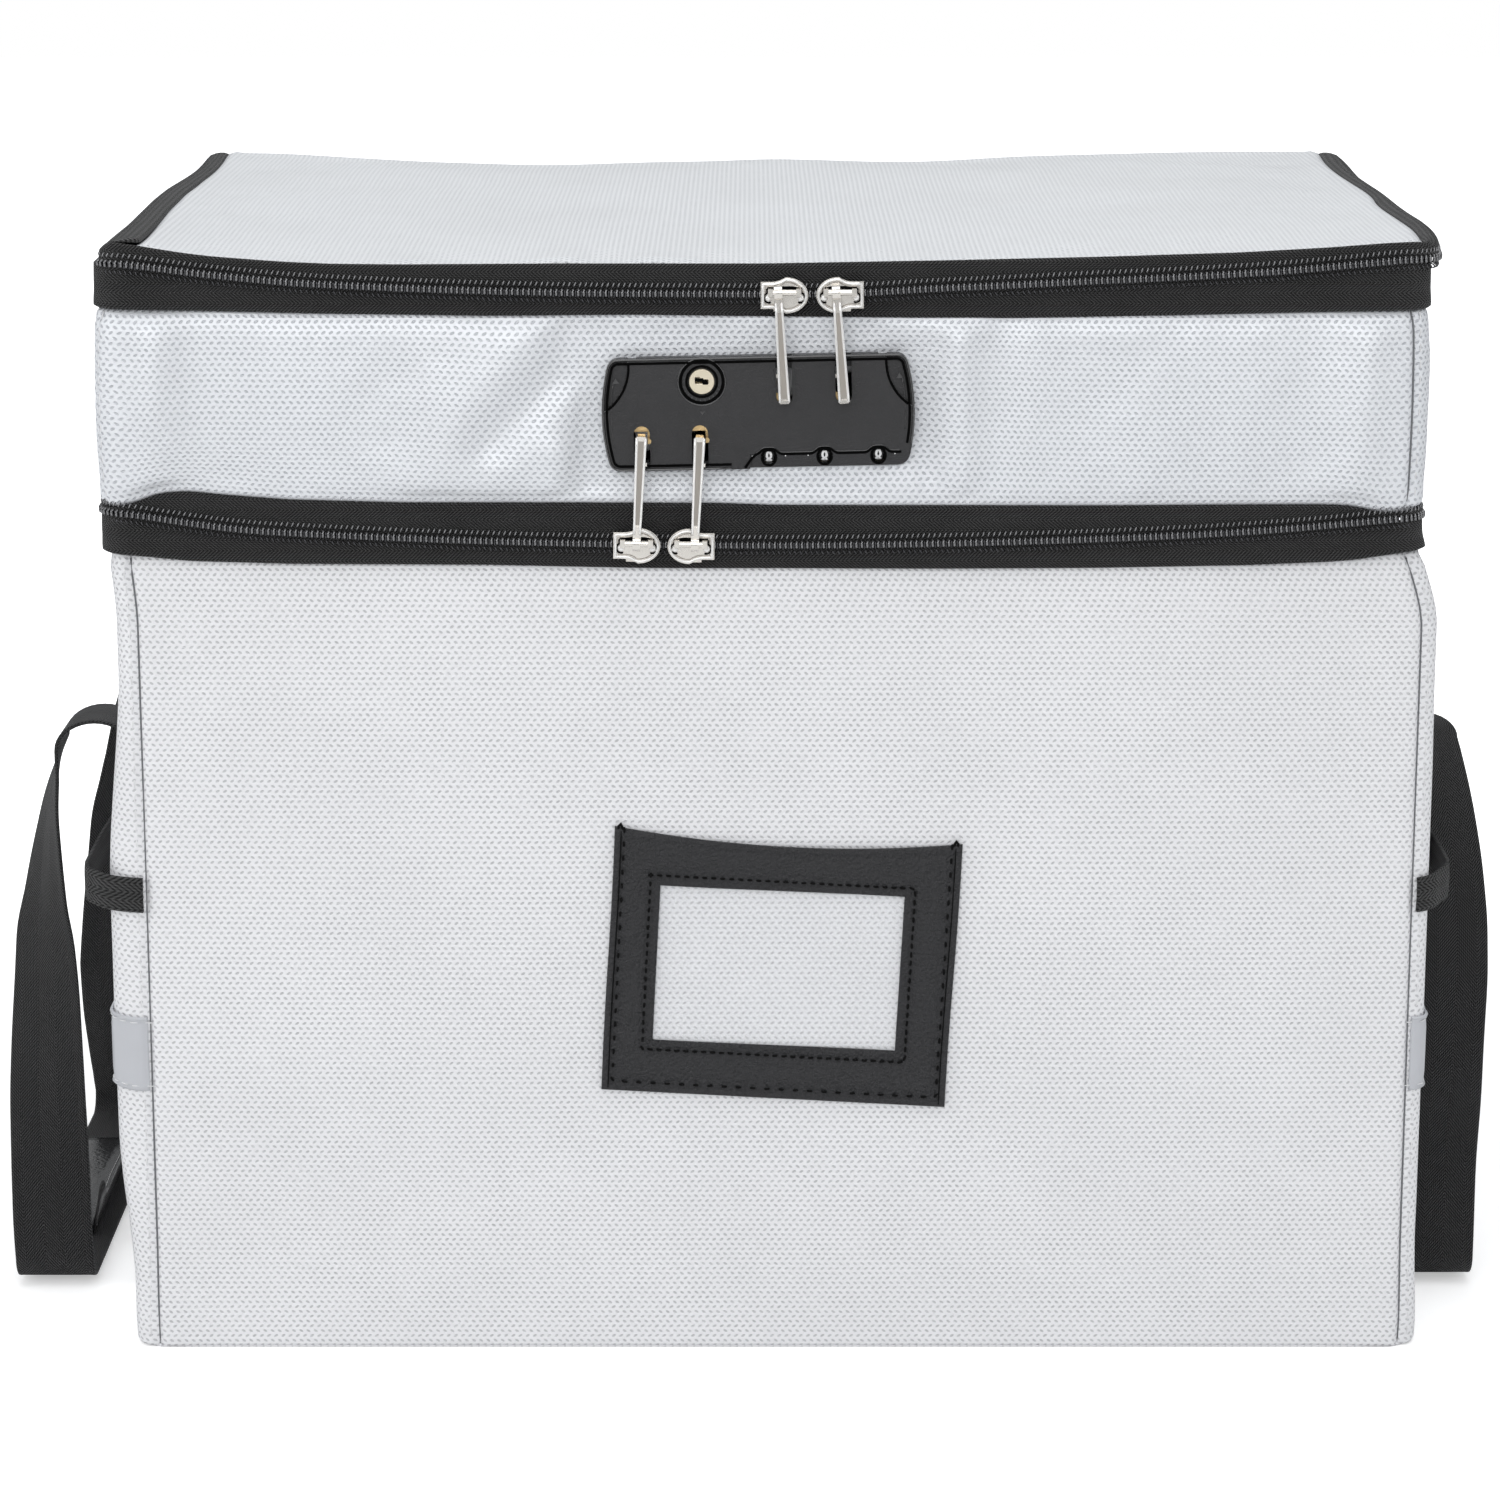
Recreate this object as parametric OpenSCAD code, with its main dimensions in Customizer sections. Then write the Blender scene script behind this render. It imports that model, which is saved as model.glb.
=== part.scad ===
// Portable file box: a deep lower box, a shallow locking tier and a lid, closed by two zips.
// The origin is the centre of the base, +X is to the right, the front faces -Y and +Z is up.
// The tier opens about a cloth hinge at the back, and so does the lid on the tier.

/* [Body] */
// Width across the side skins
body_w = 440; // [380:1:520]
// Depth from the front skin to the back skin
body_d = 320; // [280:1:380]
// Height of the lower zip's chain in the middle of the front
lower_zip_z = 280.6; // [240:0.1:330]
// Height from the lower zip's chain to the upper zip's chain
tier_h = 82.8; // [76:0.1:110]
// Height from the upper zip's chain to the lid's corners
lid_h = 16.6; // [15:0.1:24]
// Radius of the upright corners
corner_r = 10; // [8:0.5:14]
// Thickness of the coated cloth skins
skin_t = 1.2; // [0.8:0.1:1.6]
// Thickness of the wall boards
board_t = 3; // [2:0.1:4]
// Thickness of the board under the papers
floor_board_t = 4; // [2:0.1:6]
// Thickness of the linings
lining_t = 0.8; // [0.4:0.1:1.2]
// How far the front edge of the lid dips in its middle
lid_front_sag = 7.1; // [0.5:0.1:9]
// How far the back edge of the lid dips in its middle
lid_back_sag = 3; // [0.5:0.1:5]

/* [Zips] */
// Width of a closed chain
chain_w = 8; // [7:0.1:9]
// How far a chain stands out from its tape
chain_t = 2; // [1.5:0.1:2.5]
// Slot between the halves of a chain, where the sliders' posts run
mesh_gap = 1.2; // [1:0.1:1.6]
// Thickness of the zip tapes and the hinge bands
tape_t = 1.2; // [0.8:0.1:1.6]
// Rise of the lower chain from the middle of the front to the corners
lower_zip_rise = 7.4; // [3:0.1:9]
// Rise of the upper chain from the middle of the front to the corners
upper_zip_rise = 9; // [3:0.1:10]
// Lower band: from the chain's centre down to the edge
lower_band_below = 7.4; // [6.5:0.1:10]
// Lower band: from the chain's centre up to the edge
lower_band_above = 12.7; // [12:0.1:16]
// Rise of the lower band's top edge towards the corners
lower_band_rise = 3.5; // [2:0.1:6]
// Upper band: from the chain's centre down to the edge
upper_band_below = 6.5; // [6:0.1:9]

/* [Sliders and pulls] */
// Length of a slider
slider_l = 15.4; // [13:0.1:17]
// Width of a slider at its shoulders
slider_w = 11.8; // [11.4:0.1:13]
// Width of a slider at its tail
slider_tail_w = 8.8; // [8.4:0.1:10]
// Thickness of a slider's plates
slider_t = 1.3; // [1:0.1:1.5]
// Height of the plate behind the tape
slider_back_w = 8.4; // [8:0.1:9]
// Radius of the bar that a pull swings on
bar_r = 1; // [0.8:0.05:1.1]
// Height of the bar above the chain's centre
bar_up = 1.2; // [0:0.1:1.5]
// Length of a pull from the bar to its tip
pull_len = 36; // [32:0.1:38]
// Width of a pull at its tip
pull_tip_w = 3.8; // [3.2:0.1:4.2]
// Width of a pull at its eye
pull_eye_w = 2.6; // [2.2:0.1:3]
// Thickness of a pull
pull_t = 2; // [1.6:0.1:2.4]
// Depth of the lug behind a pull's tip
lug_d = 2.8; // [2.4:0.1:3]
// Width of the lug
lug_w = 2.4; // [2:0.1:2.6]
// Height of the lug
lug_h = 3.6; // [3:0.1:4]
// Places of the sliders along the front: upper left, upper right, lower left, lower right
slider_x = [3.5, 21.5, -44.9, -27.1];
// Where each pull's eye sits on its slider's bar
eye_shift = [-2.1, -1.3, 0, 1.3];

/* [Lock] */
// Width of the lock's case
lock_w = 102.3; // [98:0.1:110]
// Height of the lock's case
lock_h = 37.2; // [36:0.1:42]
// How far the case stands out from the skin
lock_t = 5; // [4.6:0.1:5.2]
// Depth of the housing behind the skin
lock_back_d = 9; // [8.6:0.1:12]
// Wall of the case
lock_wall = 1.4; // [1.2:0.1:1.6]
// Corner radius of the case
lock_corner_r = 4; // [2:0.1:6]
// How far the ends of the case bow out
lock_bow = 2.8; // [1:0.1:4]
// Place of the lock's centre across the front
lock_x = -5; // [-30:0.1:30]
// Height of the lock's centre above the lower zip's chain
lock_up = 44.5; // [42:0.1:60]
// Turn of the lock, anticlockwise seen from the front
lock_tilt = 1.2; // [0:0.1:3]
// Radius of the number dials
dial_r = 4.6; // [4.2:0.1:4.8]
// Thickness of the number dials
dial_t = 3.2; // [2.8:0.1:3.8]
// Radius of the dial shaft
shaft_r = 1.5; // [1:0.1:2]
// Radius of the key plug
plug_r = 4.15; // [3.5:0.05:4.6]
// Width of the slots that take the lugs
slot_w = 5.3; // [4.8:0.1:5.6]
// Travel of the release buttons
button_travel = 2.5; // [1.5:0.1:2.6]

/* [Label] */
// Width of the label frame
label_w = 116.5; // [100:0.5:140]
// Height of the label frame
label_h = 92; // [80:0.5:110]
// Width of the window
window_w = 82; // [70:0.5:88]
// Height of the window
window_h = 54; // [45:0.5:60]
// Thickness of the frame
label_t = 1.6; // [1:0.1:2.5]
// Thickness of the window
film_t = 0.4; // [0.2:0.1:0.8]
// Dip of the frame's open top edge
label_sag = 4; // [1:0.1:5]
// Height of the label's centre
label_z = 136.1; // [110:0.5:170]
// Turn of the label, clockwise seen from the front
label_tilt = 3.1; // [0:0.1:5]

/* [Handles and side trim] */
// Width of the webbing
web_w = 28; // [24:0.5:34]
// Thickness of the webbing
web_t = 1.4; // [1:0.1:2]
// Distance between the two strands of a handle
strand_gap = 184; // [150:1:210]
// Height of the sewn ends
sewn_h = 42; // [30:1:55]
// Height at which the webbing leaves the side
handle_z = 198; // [190:1:215]
// Radius of the left webbing's turn away from the side
left_turn_r = 13.5; // [12:0.1:16]
// Radius of the right webbing's turn away from the side
right_turn_r = 9.4; // [9:0.1:16]
// Distance from the left skin to the middle line of the low part of its loop
left_web_out = 35.5; // [33:0.5:40]
// Distance from the right skin to the middle line of the low part of its loop
right_web_out = 18.5; // [18:0.5:40]
// Height over which the left webbing twists
left_twist_h = 130; // [60:1:150]
// Height over which the right webbing twists
right_twist_h = 100; // [60:1:150]
// Length of the grip
grip_l = 110; // [90:1:130]
// Height of the grip
grip_h = 4.4; // [3.6:0.1:6]
// Height of the side bands
side_band_h = 12; // [8:0.5:20]
// Height of the side bands' middle
side_band_z = 161; // [145:0.5:172]
// How far the side bands stand off the side
side_band_gap = 8; // [5:0.5:10]
// Height of the reflector strips
reflector_h = 26; // [20:0.5:50]
// Height of the reflector strips' middle
reflector_z = 105; // [60:0.5:120]
// Thickness of the reflector strips
reflector_t = 0.8; // [0.5:0.1:1.5]

/* [Hidden] */
$fn = 64;
silver = [0.78, 0.80, 0.83];
tier_silver = [0.70, 0.73, 0.77];
cloth_black = [0.07, 0.07, 0.07];
chain_black = [0.12, 0.12, 0.13];
board_brown = [0.62, 0.52, 0.38];
lining_grey = [0.35, 0.36, 0.38];
leather_black = [0.05, 0.05, 0.05];
film_clear = [0.9, 0.93, 0.95, 0.4];
nickel = [0.85, 0.84, 0.80];
lock_black = [0.12, 0.12, 0.12];
brass = [0.78, 0.58, 0.28];
eps = 0.01;
fine = 1440;
far = 40;
run = 0.3;
slide_run = 0.35;
back_run = 0.4;
slider_upper = 0;
slider_lower = 2;

// Levels
upper_zip_z = lower_zip_z + tier_h;
lid_z = upper_zip_z + lid_h;
lower_end_z = lower_zip_z + lower_zip_rise;
upper_end_z = upper_zip_z + upper_zip_rise;
base_top = lower_zip_z - slider_back_w / 2 - back_run;
tier_bottom = lower_end_z + 4;
tier_top = upper_zip_z - slider_back_w / 2 - back_run;
floor_top = skin_t + floor_board_t;
tier_floor_top = tier_bottom + skin_t + board_t;
board_drop = 3;

// Fronts and sides of the body
front_y = -body_d / 2;
side_x = body_w / 2;
seam_x = side_x - corner_r;
seam_y = body_d / 2 - corner_r;
wall_in = skin_t + board_t;
tape_y = front_y - tape_t;
crown_y = tape_y - chain_t;
chain_h = (chain_w - mesh_gap) / 2;

// Radius of an arc that dips by sag over a half width
function arc_r(half, sag) = (half * half + sag * sag) / (2 * sag);
lower_arc_r = arc_r(seam_x, lower_zip_rise);
upper_arc_r = arc_r(seam_x, upper_zip_rise);

// Rounded rectangle
module rounded(w, d, r) {
  square([w - 2 * r, d], center = true);
  square([w, d - 2 * r], center = true);
  for (sx = [-1, 1], sy = [-1, 1])
    translate([sx * (w / 2 - r), sy * (d / 2 - r)])
      circle(r);
}

// Outline of the body in plan, grown outwards by g
module plan(g) {
  rounded(body_w + 2 * g, body_d + 2 * g, corner_r + g);
}

// Upright wall that follows the outline, from in to out, between two heights
module ring(in, out, z0, z1) {
  translate([0, 0, z0])
    linear_extrude(z1 - z0)
      difference() {
        plan(out);
        plan(in);
      }
}

// Keeps what lies beyond the seam on one side, 1 right and -1 left
module beyond_seam(side) {
  intersection() {
    children();
    translate([side > 0 ? seam_x : -seam_x - far, -body_d, 0])
      cube([far, 2 * body_d, lid_z + far]);
  }
}

// Solid whose outline is drawn in X and Z, between two depths
module upright(y0, y1) {
  translate([0, y1, 0])
    rotate([90, 0, 0])
      linear_extrude(y1 - y0)
        children();
}

// Skins, boards and linings
module plate_front(y0, y1, half, z0, z1) {
  translate([-half, y0, z0])
    cube([2 * half, y1 - y0, z1 - z0]);
}
module side_skin(side, z0, z1) {
  beyond_seam(side)
    ring(-skin_t, 0, z0, z1);
}
module floor_plate(g, z0, t) {
  translate([0, 0, z0])
    linear_extrude(t)
      plan(g);
}
module boards(z0, z1) {
  for (s = [-1, 1]) {
    translate([-seam_x, s > 0 ? -front_y - wall_in : front_y + skin_t, z0])
      cube([2 * seam_x, board_t, z1 - z0]);
    translate([s > 0 ? side_x - wall_in : -side_x + skin_t, -seam_y, z0])
      cube([board_t, 2 * seam_y, z1 - z0]);
  }
}
module lining(z0, z1) {
  floor_plate(-wall_in, z0, lining_t);
  ring(-wall_in - lining_t, -wall_in, z0, z1);
}

module bottom_skin() {
  color(silver) floor_plate(0, 0, skin_t);
}
module front_skin() {
  color(silver) plate_front(front_y, front_y + skin_t, seam_x, skin_t, base_top);
}
module back_skin() {
  color(silver) plate_front(-front_y - skin_t, -front_y, seam_x, skin_t, base_top);
}
module left_skin() {
  color(silver) side_skin(-1, skin_t, base_top);
}
module right_skin() {
  color(silver) side_skin(1, skin_t, base_top);
}
module bottom_board() {
  color(board_brown) floor_plate(-skin_t, skin_t, floor_board_t);
}
module wall_boards() {
  color(board_brown) boards(floor_top, base_top - board_drop);
}
module lower_lining() {
  color(lining_grey) lining(floor_top, base_top - board_drop);
}

// Zip bands. The front run dips in the middle, so its edges are arcs of large circles
module dip(z, rise, g) {
  r = arc_r(seam_x, rise);
  translate([0, z + r])
    circle(r + g, $fn = fine);
}
module front_strip(y0, y1, z0, z1) {
  upright(y0, y1)
    intersection() {
      translate([-seam_x, z0])
        square([2 * seam_x, z1 - z0]);
      children();
    }
}
// Keeps the sides and the front corners, as far back as the back corners
module zip_run() {
  intersection() {
    children();
    union() {
      for (s = [-1, 1])
        translate([s > 0 ? seam_x : -seam_x - far, -seam_y - far, 0])
          cube([far, 2 * seam_y + far, lid_z + far]);
    }
  }
}
module tape_below(z, rise, below) {
  top = z + rise - mesh_gap / 2;
  zip_run() ring(0, tape_t, z - below, top);
  front_strip(tape_y, front_y, z - below, top)
    difference() {
      translate([-side_x, z - below])
        square([body_w, below + rise]);
      dip(z, rise, mesh_gap / 2);
    }
}
module tape_above(z, rise, top_z, top_rise) {
  zip_run() ring(0, tape_t, z + rise + mesh_gap / 2, top_z + top_rise);
  front_strip(tape_y, front_y, z, top_z + top_rise)
    difference() {
      dip(z, rise, -mesh_gap / 2);
      dip(top_z, top_rise, 0);
    }
}
// One half of a chain: s is -1 below the mesh and 1 above it
module chain_half(z, rise, s) {
  near = mesh_gap / 2;
  away = near + chain_h;
  end = z + rise;
  low = s > 0 ? end + near : end - away;
  zip_run() ring(tape_t, tape_t + chain_t, low, low + chain_h);
  front_strip(crown_y, tape_y, z - away, end + away)
    difference() {
      dip(z, rise, s > 0 ? -near : away);
      dip(z, rise, s > 0 ? -away : near);
    }
}
// Band across the back, with its corners
module back_band(z0, z1) {
  intersection() {
    ring(0, tape_t, z0, z1);
    translate([-body_w, seam_y, 0])
      cube([2 * body_w, far, lid_z + far]);
  }
}
lower_band_bottom = lower_zip_z - lower_band_below;
upper_band_bottom = upper_zip_z - upper_band_below;
lower_band_mid = lower_zip_z + lower_band_above;
lid_mid_z = lid_z - lid_front_sag;

module lower_zip_tape_base() {
  color(cloth_black) tape_below(lower_zip_z, lower_zip_rise, lower_band_below);
}
module lower_zip_chain_base() {
  color(chain_black) chain_half(lower_zip_z, lower_zip_rise, -1);
}
module lower_hinge_band_base() {
  color(cloth_black) back_band(lower_band_bottom, lower_end_z - mesh_gap / 2);
}
module lower_zip_tape_tier() {
  color(cloth_black) tape_above(lower_zip_z, lower_zip_rise, lower_band_mid, lower_band_rise);
}
module lower_zip_chain_tier() {
  color(chain_black) chain_half(lower_zip_z, lower_zip_rise, 1);
}
module lower_hinge_band_tier() {
  color(cloth_black) back_band(lower_end_z + mesh_gap / 2, lower_band_mid + lower_band_rise);
}
module upper_zip_tape_tier() {
  color(cloth_black) tape_below(upper_zip_z, upper_zip_rise, upper_band_below);
}
module upper_zip_chain_tier() {
  color(chain_black) chain_half(upper_zip_z, upper_zip_rise, -1);
}
module upper_hinge_band_tier() {
  color(cloth_black) back_band(upper_band_bottom, upper_end_z - mesh_gap / 2);
}
module upper_zip_tape_lid() {
  color(cloth_black) tape_above(upper_zip_z, upper_zip_rise, lid_mid_z, lid_front_sag);
}
module upper_zip_chain_lid() {
  color(chain_black) chain_half(upper_zip_z, upper_zip_rise, 1);
}
module upper_hinge_band_lid() {
  color(cloth_black) back_band(upper_end_z + mesh_gap / 2, lid_z - lid_back_sag);
}

// Tier
module tier_cut() {
  difference() {
    children();
    lock_cut();
  }
}
module tier_front_skin() {
  color(tier_silver) tier_cut()
    plate_front(front_y, front_y + skin_t, seam_x, tier_bottom + skin_t, tier_top);
}
module tier_back_skin() {
  color(tier_silver)
    plate_front(-front_y - skin_t, -front_y, seam_x, tier_bottom + skin_t, tier_top);
}
module tier_left_skin() {
  color(tier_silver) side_skin(-1, tier_bottom + skin_t, tier_top);
}
module tier_right_skin() {
  color(tier_silver) side_skin(1, tier_bottom + skin_t, tier_top);
}
module tier_floor_skin() {
  color(lining_grey) floor_plate(0, tier_bottom, skin_t);
}
module tier_floor_board() {
  color(board_brown) floor_plate(-skin_t, tier_bottom + skin_t, board_t);
}
module tier_wall_boards() {
  color(board_brown) tier_cut() boards(tier_floor_top, tier_top - board_drop);
}
module tier_lining() {
  color(lining_grey) tier_cut() lining(tier_floor_top, tier_top - board_drop);
}

// Lid. The skin is a cloth that sags between its edges, so it is a grid of heights
lid_nx = 20;
lid_ny = 8;
lid_edge = 0.05;
function lid_dip(x, t) =
  (1 - pow(x / side_x, 2)) * (lid_front_sag * (1 - t) + lid_back_sag * t);
function lid_point(i, j, drop) =
  let (x = (2 * i / lid_nx - 1) * (side_x - lid_edge), t = j / lid_ny)
  [x, front_y + lid_edge + t * (body_d - 2 * lid_edge), lid_z - drop - lid_dip(x, t)];
function lid_at(i, j, layer) = layer * (lid_nx + 1) * (lid_ny + 1) + j * (lid_nx + 1) + i;
module lid_sheet() {
  points = [for (layer = [0, 1], j = [0:lid_ny], i = [0:lid_nx]) lid_point(i, j, layer * skin_t)];
  top = [for (j = [0:lid_ny - 1], i = [0:lid_nx - 1])
    each [[lid_at(i, j, 0), lid_at(i, j + 1, 0), lid_at(i + 1, j + 1, 0)],
      [lid_at(i, j, 0), lid_at(i + 1, j + 1, 0), lid_at(i + 1, j, 0)]]];
  under = [for (j = [0:lid_ny - 1], i = [0:lid_nx - 1])
    each [[lid_at(i, j, 1), lid_at(i + 1, j + 1, 1), lid_at(i, j + 1, 1)],
      [lid_at(i, j, 1), lid_at(i + 1, j, 1), lid_at(i + 1, j + 1, 1)]]];
  ends = [for (j = [0:lid_ny - 1])
    each [[lid_at(0, j, 0), lid_at(0, j, 1), lid_at(0, j + 1, 1)],
      [lid_at(0, j, 0), lid_at(0, j + 1, 1), lid_at(0, j + 1, 0)],
      [lid_at(lid_nx, j, 0), lid_at(lid_nx, j + 1, 0), lid_at(lid_nx, j + 1, 1)],
      [lid_at(lid_nx, j, 0), lid_at(lid_nx, j + 1, 1), lid_at(lid_nx, j, 1)]]];
  edges = [for (i = [0:lid_nx - 1])
    each [[lid_at(i, 0, 0), lid_at(i + 1, 0, 0), lid_at(i + 1, 0, 1)],
      [lid_at(i, 0, 0), lid_at(i + 1, 0, 1), lid_at(i, 0, 1)],
      [lid_at(i, lid_ny, 0), lid_at(i, lid_ny, 1), lid_at(i + 1, lid_ny, 1)],
      [lid_at(i, lid_ny, 0), lid_at(i + 1, lid_ny, 1), lid_at(i + 1, lid_ny, 0)]]];
  polyhedron(points, concat(top, under, ends, edges));
}
module lid_skin() {
  color(silver)
    intersection() {
      lid_sheet();
      floor_plate(-lid_edge, upper_zip_z, far);
    }
}
// The lid's board lies in line with the middle of the skin, low in front and high behind
lid_board_in = wall_in + 1;
lid_slope = atan((lid_front_sag - lid_back_sag) / body_d);
module lid_board() {
  half_d = body_d / 2 - lid_board_in;
  mid_z = lid_z - (lid_front_sag + lid_back_sag) / 2 - skin_t - run;
  color(board_brown)
    translate([0, 0, mid_z])
      rotate([lid_slope, 0, 0])
        translate([0, 0, -board_t])
          linear_extrude(board_t)
            rounded(body_w - 2 * lid_board_in, 2 * half_d, corner_r - wall_in);
}

// Label frame and its window
module at_label() {
  translate([2.7, 0, label_z])
    rotate([0, label_tilt, 0])
      children();
}
module label_frame() {
  back = front_y - film_t;
  color(leather_black)
    at_label()
      upright(back - label_t, back)
        difference() {
          rounded(label_w, label_h, 1.5);
          translate([-0.9, -0.4])
            square([window_w, window_h], center = true);
          translate([0, label_h / 2 - label_sag + arc_r(label_w / 2, label_sag)])
            circle(arc_r(label_w / 2, label_sag), $fn = 360);
        }
}
module label_window() {
  film_over = 9;
  color(film_clear)
    at_label()
      upright(front_y - film_t, front_y)
        translate([-0.9, -0.4])
          square([window_w + 2 * film_over, window_h + 2 * film_over], center = true);
}

// Side trim
module side_band(side) {
  r = corner_r + side_band_gap;
  w = body_w + 2 * side_band_gap;
  color(cloth_black)
    beyond_seam(side)
      translate([0, 0, side_band_z - side_band_h / 2])
        linear_extrude(side_band_h)
          difference() {
            rounded(w + 2 * tape_t, body_d + 2 * tape_t, r + tape_t);
            rounded(w, body_d, r);
          }
}
module left_side_band() {
  side_band(-1);
}
module right_side_band() {
  side_band(1);
}
module reflector(side) {
  color(tier_silver)
    beyond_seam(side)
      ring(0, reflector_t, reflector_z - reflector_h / 2, reflector_z + reflector_h / 2);
}
module reflector_strips() {
  reflector(-1);
  reflector(1);
}

// Handles. The webbing is sewn flat to the side, turns outwards over the top of an arc,
// twists a quarter turn as it hangs, and runs back along the bottom of the loop.
// The left loop hangs further out than the right one. side is -1 left and 1 right.
strand_y = strand_gap / 2;
web_x = side_x + web_t / 2;
loop_z = grip_h / 2 + 1;
foot_r = 8;
// A wider web needs a rounder arc, so that it hangs clear of the side band.
function turn_r(side) = max(side > 0 ? right_turn_r : left_turn_r, web_w / 3);
function twist_h(side) = side > 0 ? right_twist_h : left_twist_h;
function low_x(side) = side_x + (side > 0 ? right_web_out : left_web_out);
function turn_x(side) = web_x + turn_r(side);
function hang_x(side) = web_x + 2 * turn_r(side);
module strand_end(side, y) {
  translate([side > 0 ? side_x : -side_x - web_t, y - web_w / 2, handle_z - sewn_h])
    cube([web_t, web_w, sewn_h]);
  translate([side * turn_x(side), y, handle_z])
    rotate([90, 0, 0])
      rotate([0, 0, side > 0 ? 90 : 0])
        translate([0, 0, -web_w / 2])
          linear_extrude(web_w)
            difference() {
              intersection() {
                circle(turn_r(side) + web_t / 2);
                square(far);
              }
              circle(turn_r(side) - web_t / 2);
            }
}
module handle_ends() {
  color(cloth_black)
    for (side = [-1, 1], y = [-strand_y, strand_y])
      strand_end(side, y);
}

// Sections of a loop's front half: middle point, width direction, thickness direction
turn_steps = 5;
twist_steps = 12;
foot_steps = 5;
function ease(t) = t * t * (3 - 2 * t);
function start_section(side) =
  [[turn_x(side) + run, -strand_y, handle_z + turn_r(side)], [0, 1, 0], [0, 0, 1]];
function turn_section(side, a) =
  [[turn_x(side) + turn_r(side) * sin(a), -strand_y, handle_z + turn_r(side) * cos(a)],
    [0, 1, 0], [sin(a), 0, cos(a)]];
function twist_section(side, t) =
  [[hang_x(side) + (low_x(side) - hang_x(side)) * ease(t), -strand_y, handle_z - twist_h(side) * t],
    [sin(90 * t), cos(90 * t), 0], [cos(90 * t), -sin(90 * t), 0]];
function foot_section(side, a) =
  [[low_x(side), -strand_y + foot_r * (1 - cos(a)), loop_z + foot_r - foot_r * sin(a)],
    [1, 0, 0], [0, -cos(a), -sin(a)]];
function loop_front(side) = concat([start_section(side)],
  [for (i = [1:turn_steps]) turn_section(side, 90 * i / turn_steps)],
  [for (i = [1:twist_steps]) twist_section(side, i / twist_steps)],
  [for (i = [0:foot_steps]) foot_section(side, 90 * i / foot_steps)]);
function section_corners(s) = [for (c = [[-1, -1], [1, -1], [1, 1], [-1, 1]])
  s[0] + s[1] * c[0] * web_w / 2 + s[2] * c[1] * web_t / 2];
function over(p) = [p[0], -p[1], p[2]];
// Drawn on the right; the left loop is mirrored
module strap_loop(side) {
  front = [for (s = loop_front(side)) section_corners(s)];
  rings = concat(front, [for (i = [len(front) - 1:-1:0]) [for (p = front[i]) over(p)]]);
  n = len(rings);
  walls = [for (i = [0:n - 2], k = [0:3])
    let (a = 4 * i + k, b = 4 * i + (k + 1) % 4)
    each [[a, a + 4, b + 4], [a, b + 4, b]]];
  polyhedron([for (r = rings, p = r) p],
    concat([[0, 1, 2], [0, 2, 3]], walls,
      [[4 * n - 4, 4 * n - 2, 4 * n - 3], [4 * n - 4, 4 * n - 1, 4 * n - 2]]));
}
module grip(side) {
  grip_w = web_w + 3;
  x = side * low_x(side);
  color(leather_black)
    difference() {
      translate([x, grip_l / 2, loop_z])
        rotate([90, 0, 0])
          linear_extrude(grip_l)
            rounded(grip_w, grip_h, grip_h / 2 - eps);
      translate([x - web_w / 2 - 0.1, -grip_l, loop_z - web_t / 2 - 0.1])
        cube([web_w + 0.2, 2 * grip_l, web_t + 0.2]);
    }
}
module left_handle() {
  color(cloth_black) mirror([1, 0, 0]) strap_loop(-1);
}
module right_handle() {
  color(cloth_black) strap_loop(1);
}
module left_grip() {
  grip(-1);
}
module right_grip() {
  grip(1);
}

// Sliders. Each one runs along its chain's arc, so it is placed by turning about the arc's centre
plate_y = crown_y - slide_run;
bar_y = plate_y - slider_t - bar_r - 1.4 - run;
eye_r = bar_r + 1.4;
function zip_of(i) = i < slider_lower ? [upper_zip_z, upper_arc_r] : [lower_zip_z, lower_arc_r];
function swing_of(i) = -asin(slider_x[i] / zip_of(i)[1]);
module at_slider(i) {
  zip = zip_of(i);
  translate([0, 0, zip[0] + zip[1]])
    rotate([0, swing_of(i), 0])
      translate([0, 0, -zip[1]])
        children();
}
// Shield outline: square tail, hollow waist, sharp shoulders and a pointed nose
function slider_half(l, w, tail) = concat(
  [[-l / 2, 0], [-l / 2, tail / 2]],
  [for (t = [0:0.25:1]) [-l * 0.28 + l * 0.31 * t, tail / 2 + (w - tail) / 2 * t * t]],
  [for (t = [0.125:0.125:1]) [l * 0.03 + l * 0.47 * sin(90 * t), w / 2 * cos(90 * t)]]);
module slider_outline(shrink) {
  half = slider_half(slider_l - 2 * shrink, slider_w - 2 * shrink, slider_tail_w - 2 * shrink);
  polygon(concat(half, [for (i = [len(half) - 2:-1:1]) [half[i][0], -half[i][1]]]));
}
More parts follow.
